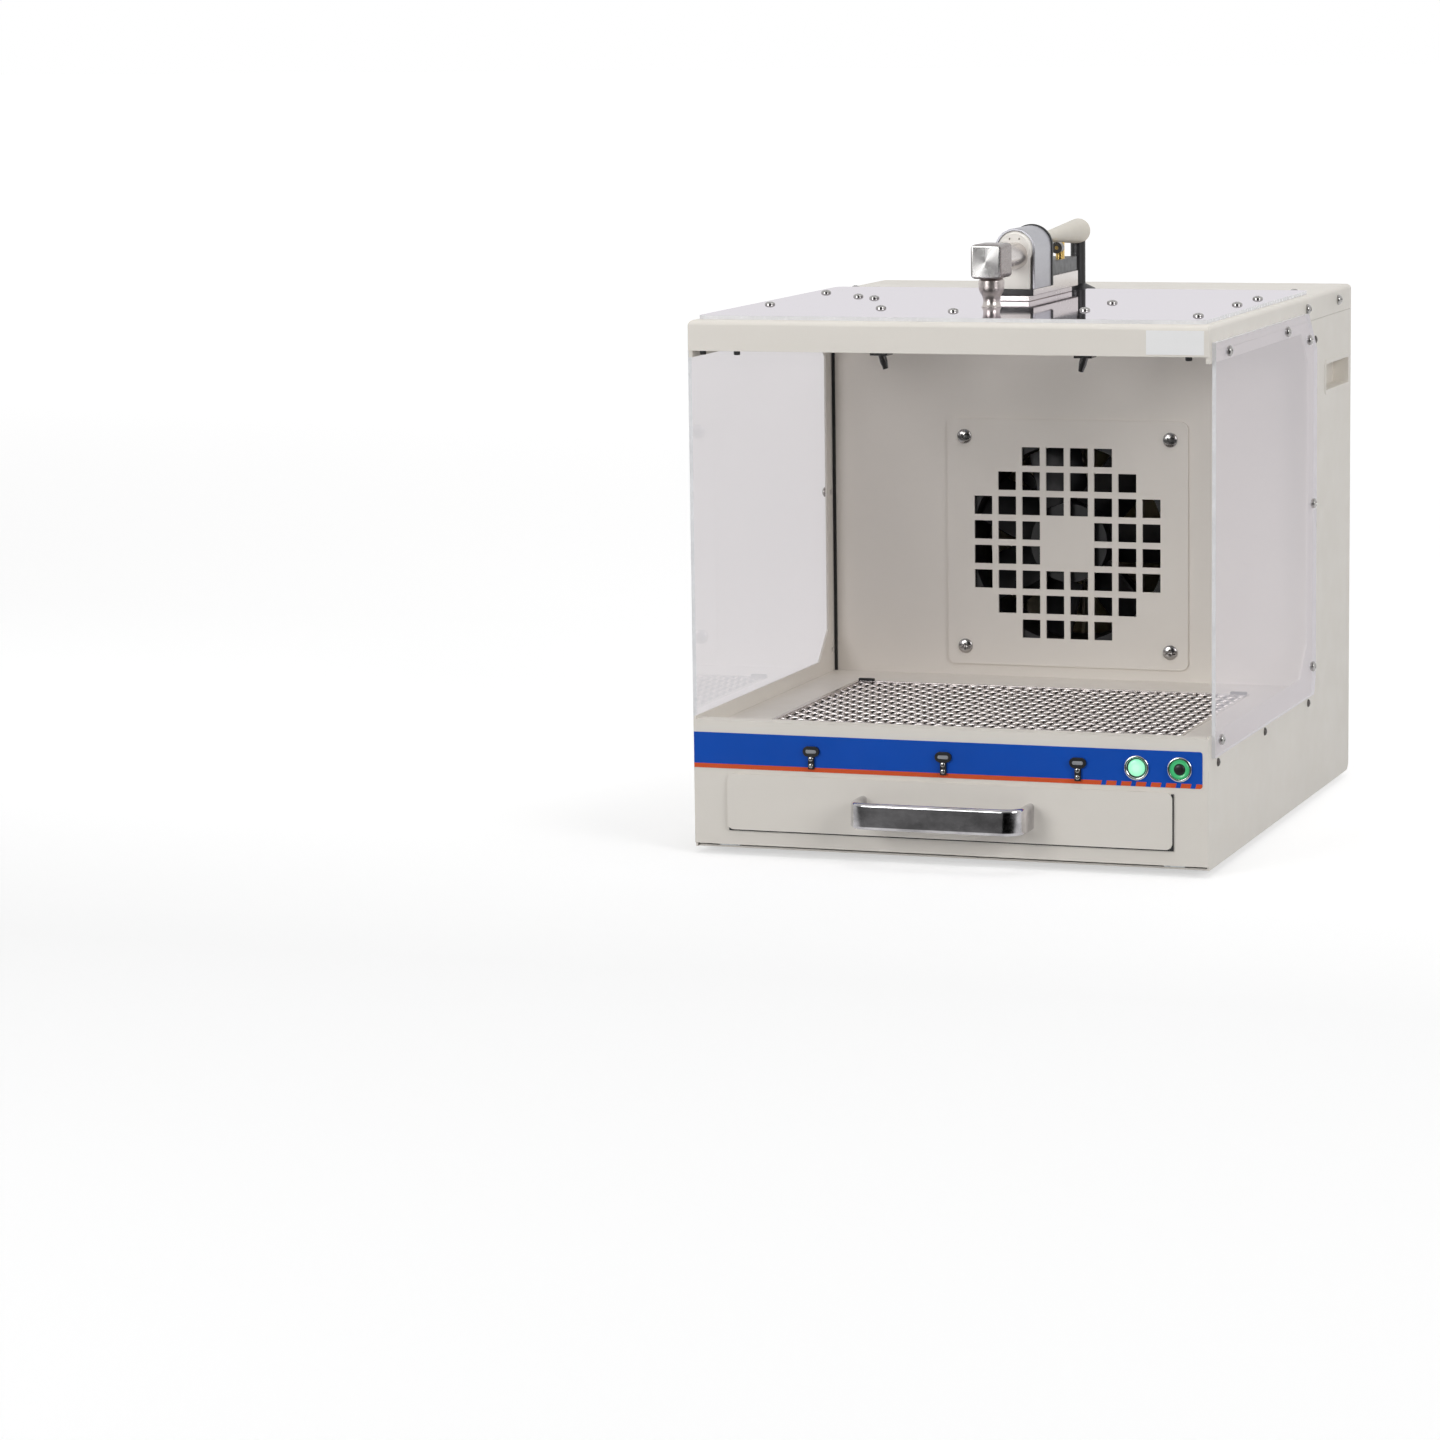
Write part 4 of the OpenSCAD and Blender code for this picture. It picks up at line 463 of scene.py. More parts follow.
def to_mesh(bm, name):
    mesh = bpy.data.meshes.new(name)
    bm.to_mesh(mesh)
    bm.free()
    return mesh


def all_smooth(mesh):
    """Smooth shading over every edge."""
    mesh.polygons.foreach_set("use_smooth", [True] * len(mesh.polygons))


def smooth(mesh):
    """Smooth shading that stops at sharp edges."""
    all_smooth(mesh)
    mesh.set_sharp_from_angle(angle=SHARP)
    mesh.update()
    return mesh


def join(bm, part):
    """Adds a second bmesh to the first."""
    scratch = to_mesh(part, "scratch")
    bm.from_mesh(scratch)
    bpy.data.meshes.remove(scratch)


def node_mesh(node):
    """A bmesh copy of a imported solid, with the importer's split edges joined again."""
    bm = bmesh.new()
    bm.from_mesh(NODES[node].data)
    bmesh.ops.remove_doubles(bm, verts=bm.verts, dist=SPLIT)
    bmesh.ops.dissolve_degenerate(bm, edges=bm.edges, dist=TINY)
    return bm


def soften(obj, width, segments=2):
    """Rounds the sharp edges, as a press, a bend or a tumbler does."""
    rounded = obj.modifiers.new("rounded_edges", "BEVEL")
    rounded.width = width
    rounded.segments = segments
    rounded.limit_method = "ANGLE"
    rounded.angle_limit = SHARP
    rounded.use_clamp_overlap = True
    even = obj.modifiers.new("flat_faces_stay_flat", "WEIGHTED_NORMAL")
    even.weight = 100


def round_along(bm, axis, width, keep):
    """Rounds the corner edges that run along an axis, where keep(middle) says so."""
    parallel = 0.99
    corner_angle = 1.2
    corners = []
    for edge in bm.edges:
        run = (edge.verts[1].co - edge.verts[0].co).normalized()
        middle = (edge.verts[0].co + edge.verts[1].co) / 2
        if abs(run[axis]) > parallel and edge.calc_face_angle(0) > corner_angle and keep(middle):
            corners.append(edge)
    bmesh.ops.bevel(bm, geom=corners, offset=width, segments=6, profile=0.5, affect="EDGES")


def lift_face(bm, axis, at, by):
    """Moves the points at a place along an axis."""
    for vert in bm.verts:
        if abs(vert.co[axis] - at) < NEAR:
            vert.co[axis] += by


def dress(node, width, materials=None, pick=None, segments=2, shape=None):
    """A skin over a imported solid, its edges rounded by width; shape(bm) changes the solid first, and
    pick(middle, normal) gives the number of a face's material."""
    bm = node_mesh(node)
    bmesh.ops.dissolve_limit(bm, angle_limit=FLAT, verts=bm.verts, edges=bm.edges)
    if shape:
        shape(bm)
    if pick:
        for face in bm.faces:
            face.material_index = pick(face.calc_center_median(), face.normal)
    mesh = to_mesh(bm, "skin_" + node)
    obj = new_object("skin_" + node, mesh, *(materials or [SLOT_MATERIAL[SLOT_OF[node]]]))
    if width:
        all_smooth(mesh)
        soften(obj, width, segments)
    else:
        smooth(mesh)
    finish_piece(obj, node)


def box_of(points):
    low = Vector([min(p[i] for p in points) for i in range(3)])
    high = Vector([max(p[i] for p in points) for i in range(3)])
    return low, high


def islands(node):
    """The separate solids of a node, each as a list of its points, in the order of their places."""
    digits = 5
    bm = node_mesh(node)
    left = set(bm.verts)
    groups = []
    while left:
        stack = [left.pop()]
        group = []
        while stack:
            vert = stack.pop()
            group.append(vert.co.copy())
            for edge in vert.link_edges:
                other = edge.other_vert(vert)
                if other in left:
                    left.remove(other)
                    stack.append(other)
        groups.append(group)
    bm.free()
    return sorted(groups, key=lambda g: tuple(round(c, digits) for c in box_of(g)[LOW]))


def headed(points):
    """(seat of the head, direction out of the head, head radius, head height) of a screw or rivet."""
    rim_share = 0.93
    low, high = box_of(points)
    span = high - low
    axis = min(range(3), key=lambda a: abs(span[(a + 1) % 3] - span[(a + 2) % 3]))
    middle = (low + high) / 2
    radius = span[(axis + 1) % 3] / 2

    def off_axis(point):
        offset = point - middle
        offset[axis] = 0
        return offset.length

    rim = [p[axis] for p in points if off_axis(p) > rim_share * radius]
    sign = 1 if sum(rim) / len(rim) > middle[axis] else -1
    seat = min(rim) if sign > 0 else max(rim)
    top = high[axis] if sign > 0 else low[axis]
    out = Vector((0, 0, 0))
    out[axis] = sign
    foot = middle.copy()
    foot[axis] = seat
    return foot, out, radius, abs(top - seat)


def bridge(bm, rings, closed=False):
    """Faces from each ring of points to the next one; a ring of one point is a tip."""
    count = max(len(ring) for ring in rings)
    pairs = list(zip(rings, rings[1:]))
    if closed:
        pairs.append((rings[-1], rings[0]))
    for a, b in pairs:
        for k in range(count):
            corners = [a[k % len(a)], a[(k + 1) % len(a)], b[(k + 1) % len(b)], b[k % len(b)]]
            corners = list(dict.fromkeys(corners))
            if len(corners) > 2:
                bm.faces.new(corners)


def turned(profile, segments, closed=False):
    """A bmesh turned about Z from (radius, height) points; a closed profile makes a ring."""
    no_radius = 1e-7
    turns = [math.tau * k / segments for k in range(segments)]
    bm = bmesh.new()
    rings = []
    for radius, height in profile:
        if radius < no_radius:
            rings.append([bm.verts.new((0, 0, height))])
        else:
            rings.append([bm.verts.new((radius * math.cos(t), radius * math.sin(t), height)) for t in turns])
    bridge(bm, rings, closed)
    bmesh.ops.recalc_face_normals(bm, faces=bm.faces)
    return bm


def facing(direction, foot, spin=0.0):
    """Places something modelled up Z at foot, pointing along direction."""
    turn = Vector(direction).to_track_quat("Z", "Y").to_matrix().to_4x4()
    return Matrix.Translation(foot) @ turn @ Matrix.Rotation(spin, 4, "Z")


# Fasteners, whose heads are modelled with a radius of 1

PAN_HEIGHT = 0.6
RIVET_HEIGHT = 0.5
GOLDEN_TURN = 2.39996


def cross_cutter():
    """Two tapered blades that cut a cross recess in a pan head."""
    long_top = 1.24
    long_foot = 0.5
    wide_top = 0.26
    wide_foot = 0.2
    top_z = 0.75
    foot_z = 0.14
    bm = bmesh.new()
    for turn in (0, math.pi / 2):
        blade = bmesh.ops.create_cube(bm, size=1)["verts"]
        for vert in blade:
            top = vert.co.z > 0
            vert.co.x *= long_top if top else long_foot
            vert.co.y *= wide_top if top else wide_foot
            vert.co.z = top_z if top else foot_z
        bmesh.ops.rotate(bm, verts=blade, matrix=Matrix.Rotation(turn, 3, "Z"))
    return to_mesh(bm, "cross_cutter")


def dome(height, lip, steps=9):
    """Profile of a domed head, from its crown to its seat."""
    turns = [k / steps * math.pi / 2 for k in range(steps + 1)]
    return [(math.sin(t), lip + (height - lip) * math.cos(t)) for t in turns] + [(1, 0), (0, 0)]


def cross_head():
    """Pan head with a cross recess."""
    blank = turned(dome(PAN_HEIGHT, lip=0.14), segments=40)
    head = new_object("head_blank", smooth(to_mesh(blank, "head_blank")))
    cutter = new_object("head_cutter", cross_cutter())
    recess = head.modifiers.new("recess", "BOOLEAN")
    recess.object = cutter
    recess.solver = "EXACT"
    recess.use_self = True
    graph = bpy.context.evaluated_depsgraph_get()
    result = bpy.data.meshes.new_from_object(head.evaluated_get(graph))
    for obj in (head, cutter):
        bpy.data.objects.remove(obj)
    return result


def rivet_head():
    """Domed rivet head with the stub of its mandrel."""
    stub = [(0, 0.40), (0.24, 0.40), (0.27, 0.36), (0.30, 0.36)]
    hole = 0.33
    seat = 0.01
    rim = [(r, h) for r, h in dome(RIVET_HEIGHT, lip=0.06) if r > hole or h < seat]
    return smooth(to_mesh(turned(stub + rim, segments=32), "rivet_head"))


def fasteners(node, head, head_height, material, taller=1.0):
    """One piece with a head on each screw of the node, each turned its own way."""
    bm = bmesh.new()
    for index, points in enumerate(islands(node)):
        foot, out, radius, height = headed(points)
        size = Matrix.Diagonal((radius, radius, taller * height / head_height, 1))
        part = bmesh.new()
        part.from_mesh(head)
        part.transform(facing(out, foot, index * GOLDEN_TURN) @ size)
        join(bm, part)
    finish_piece(new_object("heads_" + node, smooth(to_mesh(bm, "heads_" + node)), material), node)


def all_fasteners():
    cross = cross_head()
    for node in ("side_window_screws", "roof_screws", "sensor_screws", "grille_screws", "handle_screws"):
        fasteners(node, cross, PAN_HEIGHT, SCREW)
    # These show taller in the photo than in the solids
    fasteners("lid_screws", cross, PAN_HEIGHT, SCREW, taller=1.5)
    fasteners("rivets", rivet_head(), RIVET_HEIGHT, RIVET, taller=1.6)
    dress("button_nuts", width=0.3 * MM)


# Wire screen in the deck

SCREEN_BAR = 3 * MM


def wire(bm, path, side, radius, sides=8):
    """A round wire along the path, which bends only across side."""
    turns = [math.tau * k / sides for k in range(sides)]
    rings = []
    for index, point in enumerate(path):
        ahead = path[min(index + 1, len(path) - 1)]
        behind = path[max(index - 1, 0)]
        up = (ahead - behind).normalized().cross(side)
        rings.append([bm.verts.new(point + radius * (math.cos(t) * side + math.sin(t) * up)) for t in turns])
    bridge(bm, rings)
    bm.faces.new(rings[0])
    bm.faces.new(rings[-1])


def woven_wires():
    """Crimped wires woven over and under each other."""
    pitch = 8 * MM
    radius = 1.12 * MM
    crimp = 1.08 * MM
    knuckle_power = 0.8
    into_bar = 0.6
    steps = 6
    low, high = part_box("wire_screen")
    middle = (low + high) / 2
    reach = [(high[a] - low[a]) / 2 - SCREEN_BAR * into_bar for a in (X, Y)]
    clear = [(high[a] - low[a]) / 2 - SCREEN_BAR - radius for a in (X, Y)]
    counts = [round(clear[a] / pitch) for a in (X, Y)]
    pitches = [clear[a] / counts[a] for a in (X, Y)]
    bm = bmesh.new()
    for run, across, side, first in ((X, Y, Vector((0, 1, 0)), -1), (Y, X, Vector((1, 0, 0)), 1)):
        samples = int(2 * reach[run] / pitches[run] * steps)
        for i in range(-counts[across], counts[across] + 1):
            path = []
            for s in range(samples + 1):
                along = -reach[run] + 2 * reach[run] * s / samples
                wave = math.cos(math.pi * (along / pitches[run] + i)) * first
                knuckle = math.copysign(abs(wave) ** knuckle_power, wave)
                point = Vector((0, 0, WEAVE_Z + crimp * knuckle))
                point[run] = middle[run] + along
                point[across] = middle[across] + i * pitches[across]
                path.append(point)
            wire(bm, path, side, radius)
    bmesh.ops.recalc_face_normals(bm, faces=bm.faces)
    mesh = to_mesh(bm, "woven_wires")
    all_smooth(mesh)
    finish_piece(new_object("woven_wires", mesh, WOVEN), "wire_screen")


def screen_frame():
    """Flat frame that holds the wires' ends."""
    low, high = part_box("wire_screen")
    middle = (low + high) / 2
    half = (high - low) / 2
    bm = bmesh.new()
    loops = []
    for inset, z in ((0, low.z), (0, high.z), (SCREEN_BAR, high.z), (SCREEN_BAR, low.z)):
        loops.append([bm.verts.new((middle.x + sx * (half.x - inset), middle.y + sy * (half.y - inset), z))
                      for sx, sy in ((-1, -1), (1, -1), (1, 1), (-1, 1))])
    bridge(bm, loops, closed=True)
    bmesh.ops.recalc_face_normals(bm, faces=bm.faces)
    obj = new_object("screen_frame", smooth(to_mesh(bm, "screen_frame")), WIRE)
    soften(obj, width=0.4 * MM)
    finish_piece(obj, "wire_screen")


# Push-buttons, turned about an axis that points to the operator, with heights from their fronts

# Rim of a bezel, in millimetres in from its edge and up from its front
BEZEL_RIM = ((0, -0.9), (0.15, -0.4), (0.5, -0.1), (1.0, 0), (1.5, -0.12), (1.8, -0.45))
# Crown of a cap, in shares of its radius and millimetres up from its front
CAP_CROWN = ((0, 0), (0.4, -0.06), (0.7, -0.22), (0.88, -0.5), (0.97, -0.9), (1, -1.5))


def turned_size(node):
    """Radius of a turned piece, and the height of its back."""
    low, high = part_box(node)
    return (high.x - low.x) / 2, low.y - high.y


def turned_piece(node, profile, material, closed=False, dark_within=0.0):
    """A turned piece on a node's own axis, black inside a radius."""
    name = "turned_" + node
    low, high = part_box(node)
    foot = Vector(((low.x + high.x) / 2, low.y, (low.z + high.z) / 2))
    bm = turned(profile, 64, closed)
    for face in bm.faces:
        face.material_index = int(face.calc_center_median().xy.length < dark_within)
    bm.transform(facing((0, -1, 0), foot))
    finish_piece(new_object(name, smooth(to_mesh(bm, name)), material, BLACK), node)


def buttons():
    """Turned bezels, lit cap, lit ring and plunger of the two push-buttons."""
    play = 0.3 * MM
    seat = -2.0 * MM
    shelf = -0.9 * MM
    barrel_inset = 1.4 * MM
    dark_inset = 1.75 * MM
    for node, inside in (("start_bezel", "start_cap"), ("power_bezel", "power_ring")):
        rim, back = turned_size(node)
        bore = turned_size(inside)[0] + play
        barrel = rim - barrel_inset
        profile = [(rim, seat)]
        profile += [(rim - inset * MM, height * MM) for inset, height in BEZEL_RIM]
        profile += [(bore, shelf), (bore, back), (barrel, back), (barrel, seat)]
        turned_piece(node, profile, CHROME, closed=True, dark_within=rim - dark_inset)

    for node, material in (("start_cap", MINT), ("power_plunger", BLACK)):
        r, back = turned_size(node)
        stem_z = back * 0.7
        profile = [(share * r, height * MM) for share, height in CAP_CROWN]
        profile += [(r, stem_z), (r / 2, stem_z), (r / 2, back), (0, back)]
        turned_piece(node, profile, material)

    r, back = turned_size("power_ring")
    hole = turned_size("power_plunger")[0] + play
    profile = [
        (r, back), (r, -0.35 * MM), (r - 0.35 * MM, -0.05 * MM), (r - 0.8 * MM, 0),
        (hole + 0.6 * MM, -0.1 * MM), (hole, -0.5 * MM), (hole, back)]
    turned_piece("power_ring", profile, GREEN, closed=True)


# Drawer handle

def handle():
    """Flat bar bent to a C, its edges rounded; its ends stand on the drawer front."""
    thick = 6 * MM
    bend = 12.5 * MM
    edge = 2.6 * MM
    below = 4 * MM
    bend_steps = 12
    edge_steps = 6
    low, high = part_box("drawer_handle")
    bottom = low.z - below
    half = (thick / 2 - edge, (high.z - bottom) / 2 - edge)
    section = []
    for quarter, (a, z) in enumerate(((1, 1), (-1, 1), (-1, -1), (1, -1))):
        for k in range(edge_steps + 1):
            turn = math.pi / 2 * (quarter + k / edge_steps)
            section.append((a * half[0] + edge * math.cos(turn), z * half[1] + edge * math.sin(turn)))
    front = low.y + thick / 2 + bend
    path = []
    for side in (-1, 1):
        leg_x = (low.x if side < 0 else high.x) - side * thick / 2
        points = [(Vector((leg_x, high.y, 0)), Vector((side, 0, 0)))]
        for k in range(bend_steps + 1):
            turn = math.pi / 2 * k / bend_steps
            out = Vector((side * math.cos(turn), -math.sin(turn), 0))
            points.append((Vector((leg_x - side * bend, front, 0)) + bend * out, out))
        path += points if side < 0 else points[::-1]
    middle = Vector((0, 0, (bottom + high.z) / 2))
    bm = bmesh.new()
    rings = [[bm.verts.new(middle + point + a * out + Vector((0, 0, z))) for a, z in section]
             for point, out in path]
    bridge(bm, rings)
    bm.faces.new(rings[0])
    bm.faces.new(rings[-1])
    bmesh.ops.recalc_face_normals(bm, faces=bm.faces)
    obj = new_object("bent_handle", smooth(to_mesh(bm, "bent_handle")), BAR)
    even = obj.modifiers.new("flat_faces_stay_flat", "WEIGHTED_NORMAL")
    even.keep_sharp = True
    finish_piece(obj, "drawer_handle")


# Ion gun

def gun():
    """Machined block, barrel, strap, base, valve and air pipe on the roof."""
    block_corner = 5 * MM
    face_end = gun_low.y + 1 * MM
    neck_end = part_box("gun_barrel")[LOW].y + 47 * MM
    edging_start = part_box("gun_strap")[HIGH].y - 3.2 * MM
    base_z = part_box("gun_base")[LOW].z
    plate_foot = base_z + 4.3 * MM
    plate_top = base_z + 9.7 * MM
    valve_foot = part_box("gun_rear_block")[LOW].z + 10.7 * MM
    post_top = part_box("air_pipe")[HIGH].z - 19.5 * MM

    dress("gun_block", width=0.9 * MM, materials=[BLOCK, TURNED], segments=3,
          pick=lambda p, n: int(n.y < -0.8 and p.y < face_end),
          shape=lambda bm: round_along(bm, Y, block_corner, lambda middle: middle.z > gun_axis.z))
    dress("gun_nozzle", width=0.3 * MM, materials=[NOZZLE])
    dress("gun_barrel", width=0.8 * MM, materials=[GUN, CREAM], segments=3,
          pick=lambda p, n: int(p.y > neck_end))
    dress("gun_strap", width=0.3 * MM, materials=[STRAP, BLACK], pick=lambda p, n: int(p.y > edging_start))
    dress("gun_base", width=0.6 * MM, materials=[GUN, BLACK],
          pick=lambda p, n: int(plate_foot < p.z < plate_top))
    dress("gun_rear_block", width=0.8 * MM, materials=[POTTING, BRASS],
          pick=lambda p, n: int(p.z > valve_foot))
    dress("flow_knob", width=0.5 * MM, materials=[DARK])
    dress("air_pipe", width=0.5 * MM, materials=[PIPE, BLACK], pick=lambda p, n: int(p.z < post_top))


# Small pieces that only the looks have, each on the panel that carries it

BEAM_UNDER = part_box("bare_label")[LOW].z - 1.5 * MM


def extra(name, bm, material, body="cabinet"):
    obj = new_object(name, smooth(to_mesh(bm, name)), material)
    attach(obj, body)
    return obj


def block(bm, a, b):
    """A box between two opposite corners."""
    low, high = box_of((a, b))
    for vert in bmesh.ops.create_cube(bm, size=1)["verts"]:
        vert.co = [low[i] if vert.co[i] < 0 else high[i] for i in range(3)]


def beam_nuts():
    """Clip nuts under the beam."""
    places_x = (-192 * MM, -165 * MM, 182 * MM)
    radius = 2.6 * MM
    height = 3.6 * MM
    chamfer = 0.86
    nut_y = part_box("front_panel")[LOW].y + 11 * MM
    profile = [(0, height), (radius * chamfer, height), (radius, height * chamfer), (radius, 0), (0, 0)]
    nuts = bmesh.new()
    for x in places_x:
        nut = turned(profile, segments=6)
        nut.transform(facing((0, 0, -1), Vector((x, nut_y, BEAM_UNDER))))
        join(nuts, nut)
    extra("beam_nuts", nuts, BLACK)


def screen_tabs():
    """Lift tabs at the rear corners of the screen."""
    from_end = 2 * MM
    to_end = 15 * MM
    rise = 2 * MM
    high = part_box("wire_screen")[HIGH]
    front = high.y - 4.5 * MM
    back = high.y - 0.5 * MM
    tabs = bmesh.new()
    for side in (-1, 1):
        block(tabs, (side * (high.x - from_end), front, high.z),
              (side * (high.x - to_end), back, high.z + rise))
    soften(extra("screen_tabs", tabs, RUBBER_AND_PAINTED_SHADE), width=0.5 * MM)


def drawer_painted_shadow():
    """Dark strip under the drawer front's lower and right edge: a painted shadow, where the proud front casts
    its shade on the panel.
    """
    lap = 1 * MM
    low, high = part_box("drawer_front")
    front = low.y + 0.7 * MM
    back = high.y + 0.2 * MM
    right = high.x + 0.8 * MM
    foot = low.z - 0.9 * MM
    shadow_strip = bmesh.new()
    block(shadow_strip, (low.x + lap, front, foot), (right, back, low.z + lap))
    block(shadow_strip, (high.x - lap, front, low.z + lap), (right, back, high.z - lap))
    extra("drawer_painted_shadow", shadow_strip, RUBBER_AND_PAINTED_SHADE, "drawer")


def corner_painted_shade():
    """Dark strips along the chamber's rear corners: painted shade in the gaps between the side panels and the
    back wall.
    """
    from_end = 0.1 * MM
    to_end = 2.4 * MM
    rise = 1.2 * MM
    low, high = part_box("back_wall")
    deck_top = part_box("work_deck")[HIGH].z
    shade_strips = bmesh.new()
    for side in (-1, 1):
        block(shade_strips, (side * (high.x - from_end), low.y - rise, deck_top),
              (side * (high.x - to_end), low.y, BEAM_UNDER))
    extra("corner_painted_shade", shade_strips, RUBBER_AND_PAINTED_SHADE)


# Everything in its own finish

PANELS = ("base_pan", "front_panel", "side_panel_left", "side_panel_right", "rear_panel", "top_cover",
          "back_wall", "work_deck", "drawer_front", "grille_plate", "grip_left", "grip_right")
FITTINGS = ("sensor_bezels", "sensor_lenses", "fan_frame", "fan_impeller", "mains_inlet", "solenoid_valve",
            "runner_left", "runner_right", "filter_housing", "filter_cartridge", "power_supply",
            "air_manifold", "ion_supply", "control_board", "air_tubes", "air_inlet", "rubber_feet")


def panels_and_windows():
    """Painted panels, the films on them and the clear sheets."""
    panel_edge = 0.5 * MM
    strip_corner = 2 * MM
    sheet_lift = 0.15 * MM
    for node in PANELS:
        dress(node, panel_edge, segments=3)
    # The tray's floor under the screen gets the painted shade
    tray_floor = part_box("drawer_tray")[LOW].z + 4 * MM
    dress("drawer_tray", panel_edge, [PAINT, PAINTED_SHADE_TRAY], lambda p, n: int(n.z > 0.9 and p.z < tray_floor), 3)
    strip_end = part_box("control_strip")[HIGH].x - 1 * MM
    dress("control_strip", width=0,
          shape=lambda bm: round_along(bm, Y, strip_corner, lambda middle: middle.x > strip_end))
    dress("bare_label", width=0)
    # Each sheet lies on a panel, and its skin ends a hair above it, so that the two faces don't coincide
    for node, axis, seat, lift in (
            ("roof_window", Z, LOW, sheet_lift),
            ("side_window_left", X, HIGH, -sheet_lift),
            ("side_window_right", X, LOW, sheet_lift)):
        seat_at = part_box(node)[seat][axis]
        dress(node, 0, [CLEAR, EDGE], lambda p, n: int(abs(n[axis]) < 0.5),
              shape=lambda bm: lift_face(bm, axis, seat_at, lift))


def fittings():
    """Pieces in and on the cabinet with small rounded edges."""
    for node in FITTINGS:
        dress(node, width=0.3 * MM)
    for node in ("side_nozzle_left", "side_nozzle_right"):
        dress(node, width=0.3 * MM, materials=[DARK])


panels_and_windows()
fittings()
all_fasteners()
woven_wires()
screen_frame()
buttons()
handle()
gun()
beam_nuts()
screen_tabs()
drawer_painted_shadow()
corner_painted_shade()


# Floor, light and camera

FLOOR_SIZE = 30
FLOOR_GLOW = 0.44
# The lamps' light falls off behind the object, and the glow makes up for it: from Y, to Y, gain
FLOOR_FALL = ((-0.65, 0.15, 0.2), (1, 4, 0.16), (4, 12, 0.1))
# What metal mirrors of the floor: in front of the object, beside it, and the gain behind its front
FLOOR_MIRROR_FRONT = 0.13
FLOOR_MIRROR_BESIDE = 0.7
FLOOR_MIRROR_STEP = (-0.40, -0.32)
FLOOR_MIRROR_GAIN = 0.3
FLOOR_MIRROR_RISE = (-0.3, 0.5)
# Dark patch in the mirrored floor, where the one at the camera stands
PATCH_END_Y = -0.38
PATCH_X = 0.135
PATCH_HALF = 0.115

# The surround as light: dim in front, where the softboxes stand, and bright behind
DIM_FRONT = 0.02
DOME_LIGHT = 0.511
DIM_RANGE = (-0.5, 0.1)
# The surround as metal mirrors it: dark about the camera's side, with brightness over the cosine from it
ROOM_SIDE = (0.29, -0.957, 0.0)
ROOM_DARK = 0.02
ROOM_EDGE = 0.32
MIRROR_LIGHT = 0.87
ROOM_NEAR = (0.93, 0.80)
ROOM_FAR = (0.80, -0.1)

# Softboxes: name, place, aim, width, watts, mirrored in metal
SOFTBOXES = (
    ("left", (-1.5, -3.0, 1.2), (0, 0, 0.25), 1.8, 43.5, True),
    ("top", (0.2, -0.5, 3.0), (0, 0, 0.3), 2.0, 32, False),
    ("right", (2.8, -1.8, 1.6), (0, 0, 0.25), 1.8, 45, True))

PHOTO_PX = 1440
FOCAL_PX = 4796.92
SENSOR_MM = 36
CAMERA_PLACE = Vector((1.02984, -3.37440, 0.65047))
CAMERA_TURN = (19.704, -8.762, -0.816)
CAMERA_REACH = 200


def emission(tree, strength):
    return add(tree, "ShaderNodeEmission", {"Color": (1, 1, 1, 1), "Strength": strength}).outputs[0]


def floor():
    """Pale floor. A glow fills it up to white for the camera, so only the object's shadow shows; in metal
    it mirrors white beside and behind the object, and dark in front, where the room is."""
    corners = [(x * FLOOR_SIZE, y * FLOOR_SIZE, 0) for x, y in ((-1, -1), (1, -1), (1, 1), (-1, 1))]
    mesh = bpy.data.meshes.new("floor")
    mesh.from_pydata(corners, [], [(0, 1, 2, 3)])
    mat, tree, bsdf = new_material("floor_pale", (0.5, 0.5, 0.5), rough=0.9)
    here = split(tree, place_of(tree))
    level = FLOOR_GLOW
    for start, end, gain in FLOOR_FALL:
        level = math_node(tree, "ADD", spread(tree, here["Y"], 0, gain, start, end), level)
    lit = add(tree, "ShaderNodeAddShader", {0: bsdf.outputs[0], 1: emission(tree, level)}).outputs[0]
    near = spread(tree, here["Y"], FLOOR_MIRROR_FRONT, FLOOR_MIRROR_BESIDE, *FLOOR_MIRROR_STEP)
    rise = spread(tree, here["Y"], 0, FLOOR_MIRROR_GAIN, *FLOOR_MIRROR_RISE)
    ahead = math_node(tree, "LESS_THAN", here["Y"], PATCH_END_Y)
    aside = add(tree, "ShaderNodeMath", {0: here["X"], 1: PATCH_X, 2: PATCH_HALF}, operation="COMPARE")
    patch = math_node(tree, "MULTIPLY", ahead, aside.outputs[0])
    mirror = math_node(tree, "MULTIPLY", math_node(tree, "ADD", near, rise),
                       math_node(tree, "SUBTRACT", 1.0, patch))
    rays = add(tree, "ShaderNodeLightPath").outputs
    shown = mix_shader(tree, rays["Is Camera Ray"], bsdf.outputs[0], lit)
    show(tree, mix_shader(tree, rays["Is Glossy Ray"], shown, emission(tree, mirror)))
    new_object("floor", mesh, mat)


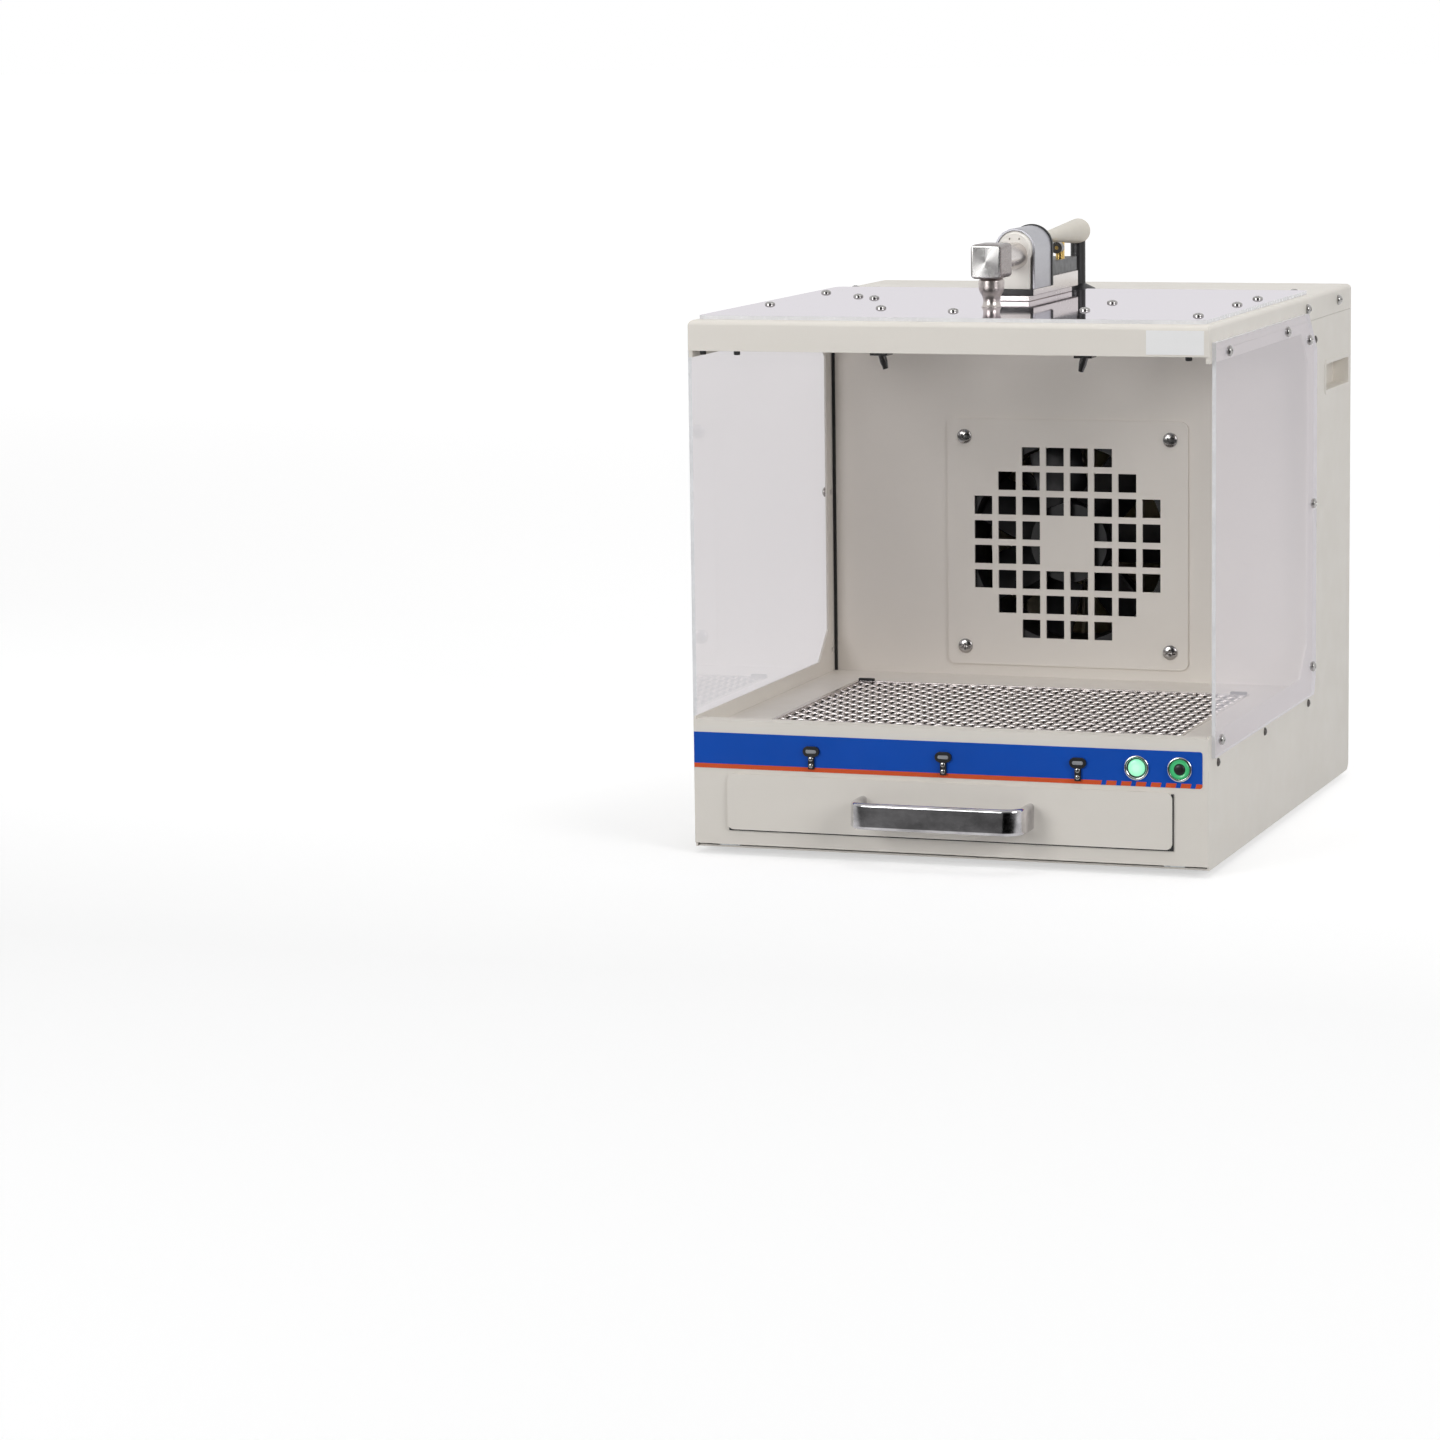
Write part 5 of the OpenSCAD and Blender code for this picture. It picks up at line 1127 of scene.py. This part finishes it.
def world():
    """White surround, with a dark room on the camera's side, where only the softboxes are bright."""
    scene_world = bpy.data.worlds.new("studio")
    bpy.context.scene.world = scene_world
    scene_world.use_nodes = True
    tree = scene_world.node_tree
    rays = add(tree, "ShaderNodeLightPath").outputs
    mirrored = math_node(tree, "MAXIMUM", rays["Is Glossy Ray"], rays["Is Transmission Ray"])
    toward = add(tree, "ShaderNodeTexCoord").outputs["Generated"]
    as_light = spread(tree, split(tree, toward)["Y"], DIM_FRONT, DOME_LIGHT, *DIM_RANGE)
    room = add(tree, "ShaderNodeVectorMath", {0: toward, 1: ROOM_SIDE},
               operation="DOT_PRODUCT").outputs["Value"]
    near_room = spread(tree, room, ROOM_DARK, ROOM_EDGE, *ROOM_NEAR)
    far_room = spread(tree, room, 0, MIRROR_LIGHT - ROOM_EDGE, *ROOM_FAR)
    lit = mix_value(tree, mirrored, as_light, math_node(tree, "ADD", near_room, far_room))
    background = tree.nodes["Background"]
    background.inputs["Color"].default_value = (1, 1, 1, 1)
    tree.links.new(mix_value(tree, rays["Is Camera Ray"], lit, 1.0), background.inputs["Strength"])


def softbox(name, place, aim, size, power, mirrored):
    light = bpy.data.lights.new(name, "AREA")
    light.shape = "DISK"
    light.size = size
    light.energy = power
    obj = bpy.data.objects.new(name, light)
    bpy.context.scene.collection.objects.link(obj)
    obj.matrix_world = facing(Vector(place) - Vector(aim), Vector(place))
    obj.visible_glossy = mirrored


def camera():
    """Camera of the photo: its place, turn and lens, fitted to the housing's straight edges."""
    yaw, pitch, roll = (math.radians(a) for a in CAMERA_TURN)
    ahead = Vector((-math.sin(yaw) * math.cos(pitch), math.cos(yaw) * math.cos(pitch), math.sin(pitch)))
    right = Vector((math.cos(yaw), math.sin(yaw), 0))
    up = right.cross(ahead)
    tilted_right = math.cos(roll) * right + math.sin(roll) * up
    tilted_up = math.cos(roll) * up - math.sin(roll) * right
    lens = bpy.data.cameras.new("photo_camera")
    lens.sensor_width = SENSOR_MM
    lens.lens = SENSOR_MM * FOCAL_PX / PHOTO_PX
    lens.clip_end = CAMERA_REACH
    obj = bpy.data.objects.new("photo_camera", lens)
    bpy.context.scene.collection.objects.link(obj)
    turn = Matrix((tilted_right, tilted_up, -ahead)).transposed()
    corner = Vector((0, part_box("front_panel")[LOW].y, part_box("base_pan")[LOW].z))
    obj.matrix_world = Matrix.Translation(corner + CAMERA_PLACE) @ turn.to_4x4()
    bpy.context.scene.camera = obj


floor()
world()
for values in SOFTBOXES:
    softbox(*values)
camera()
bpy.context.scene.view_settings.view_transform = "Standard"
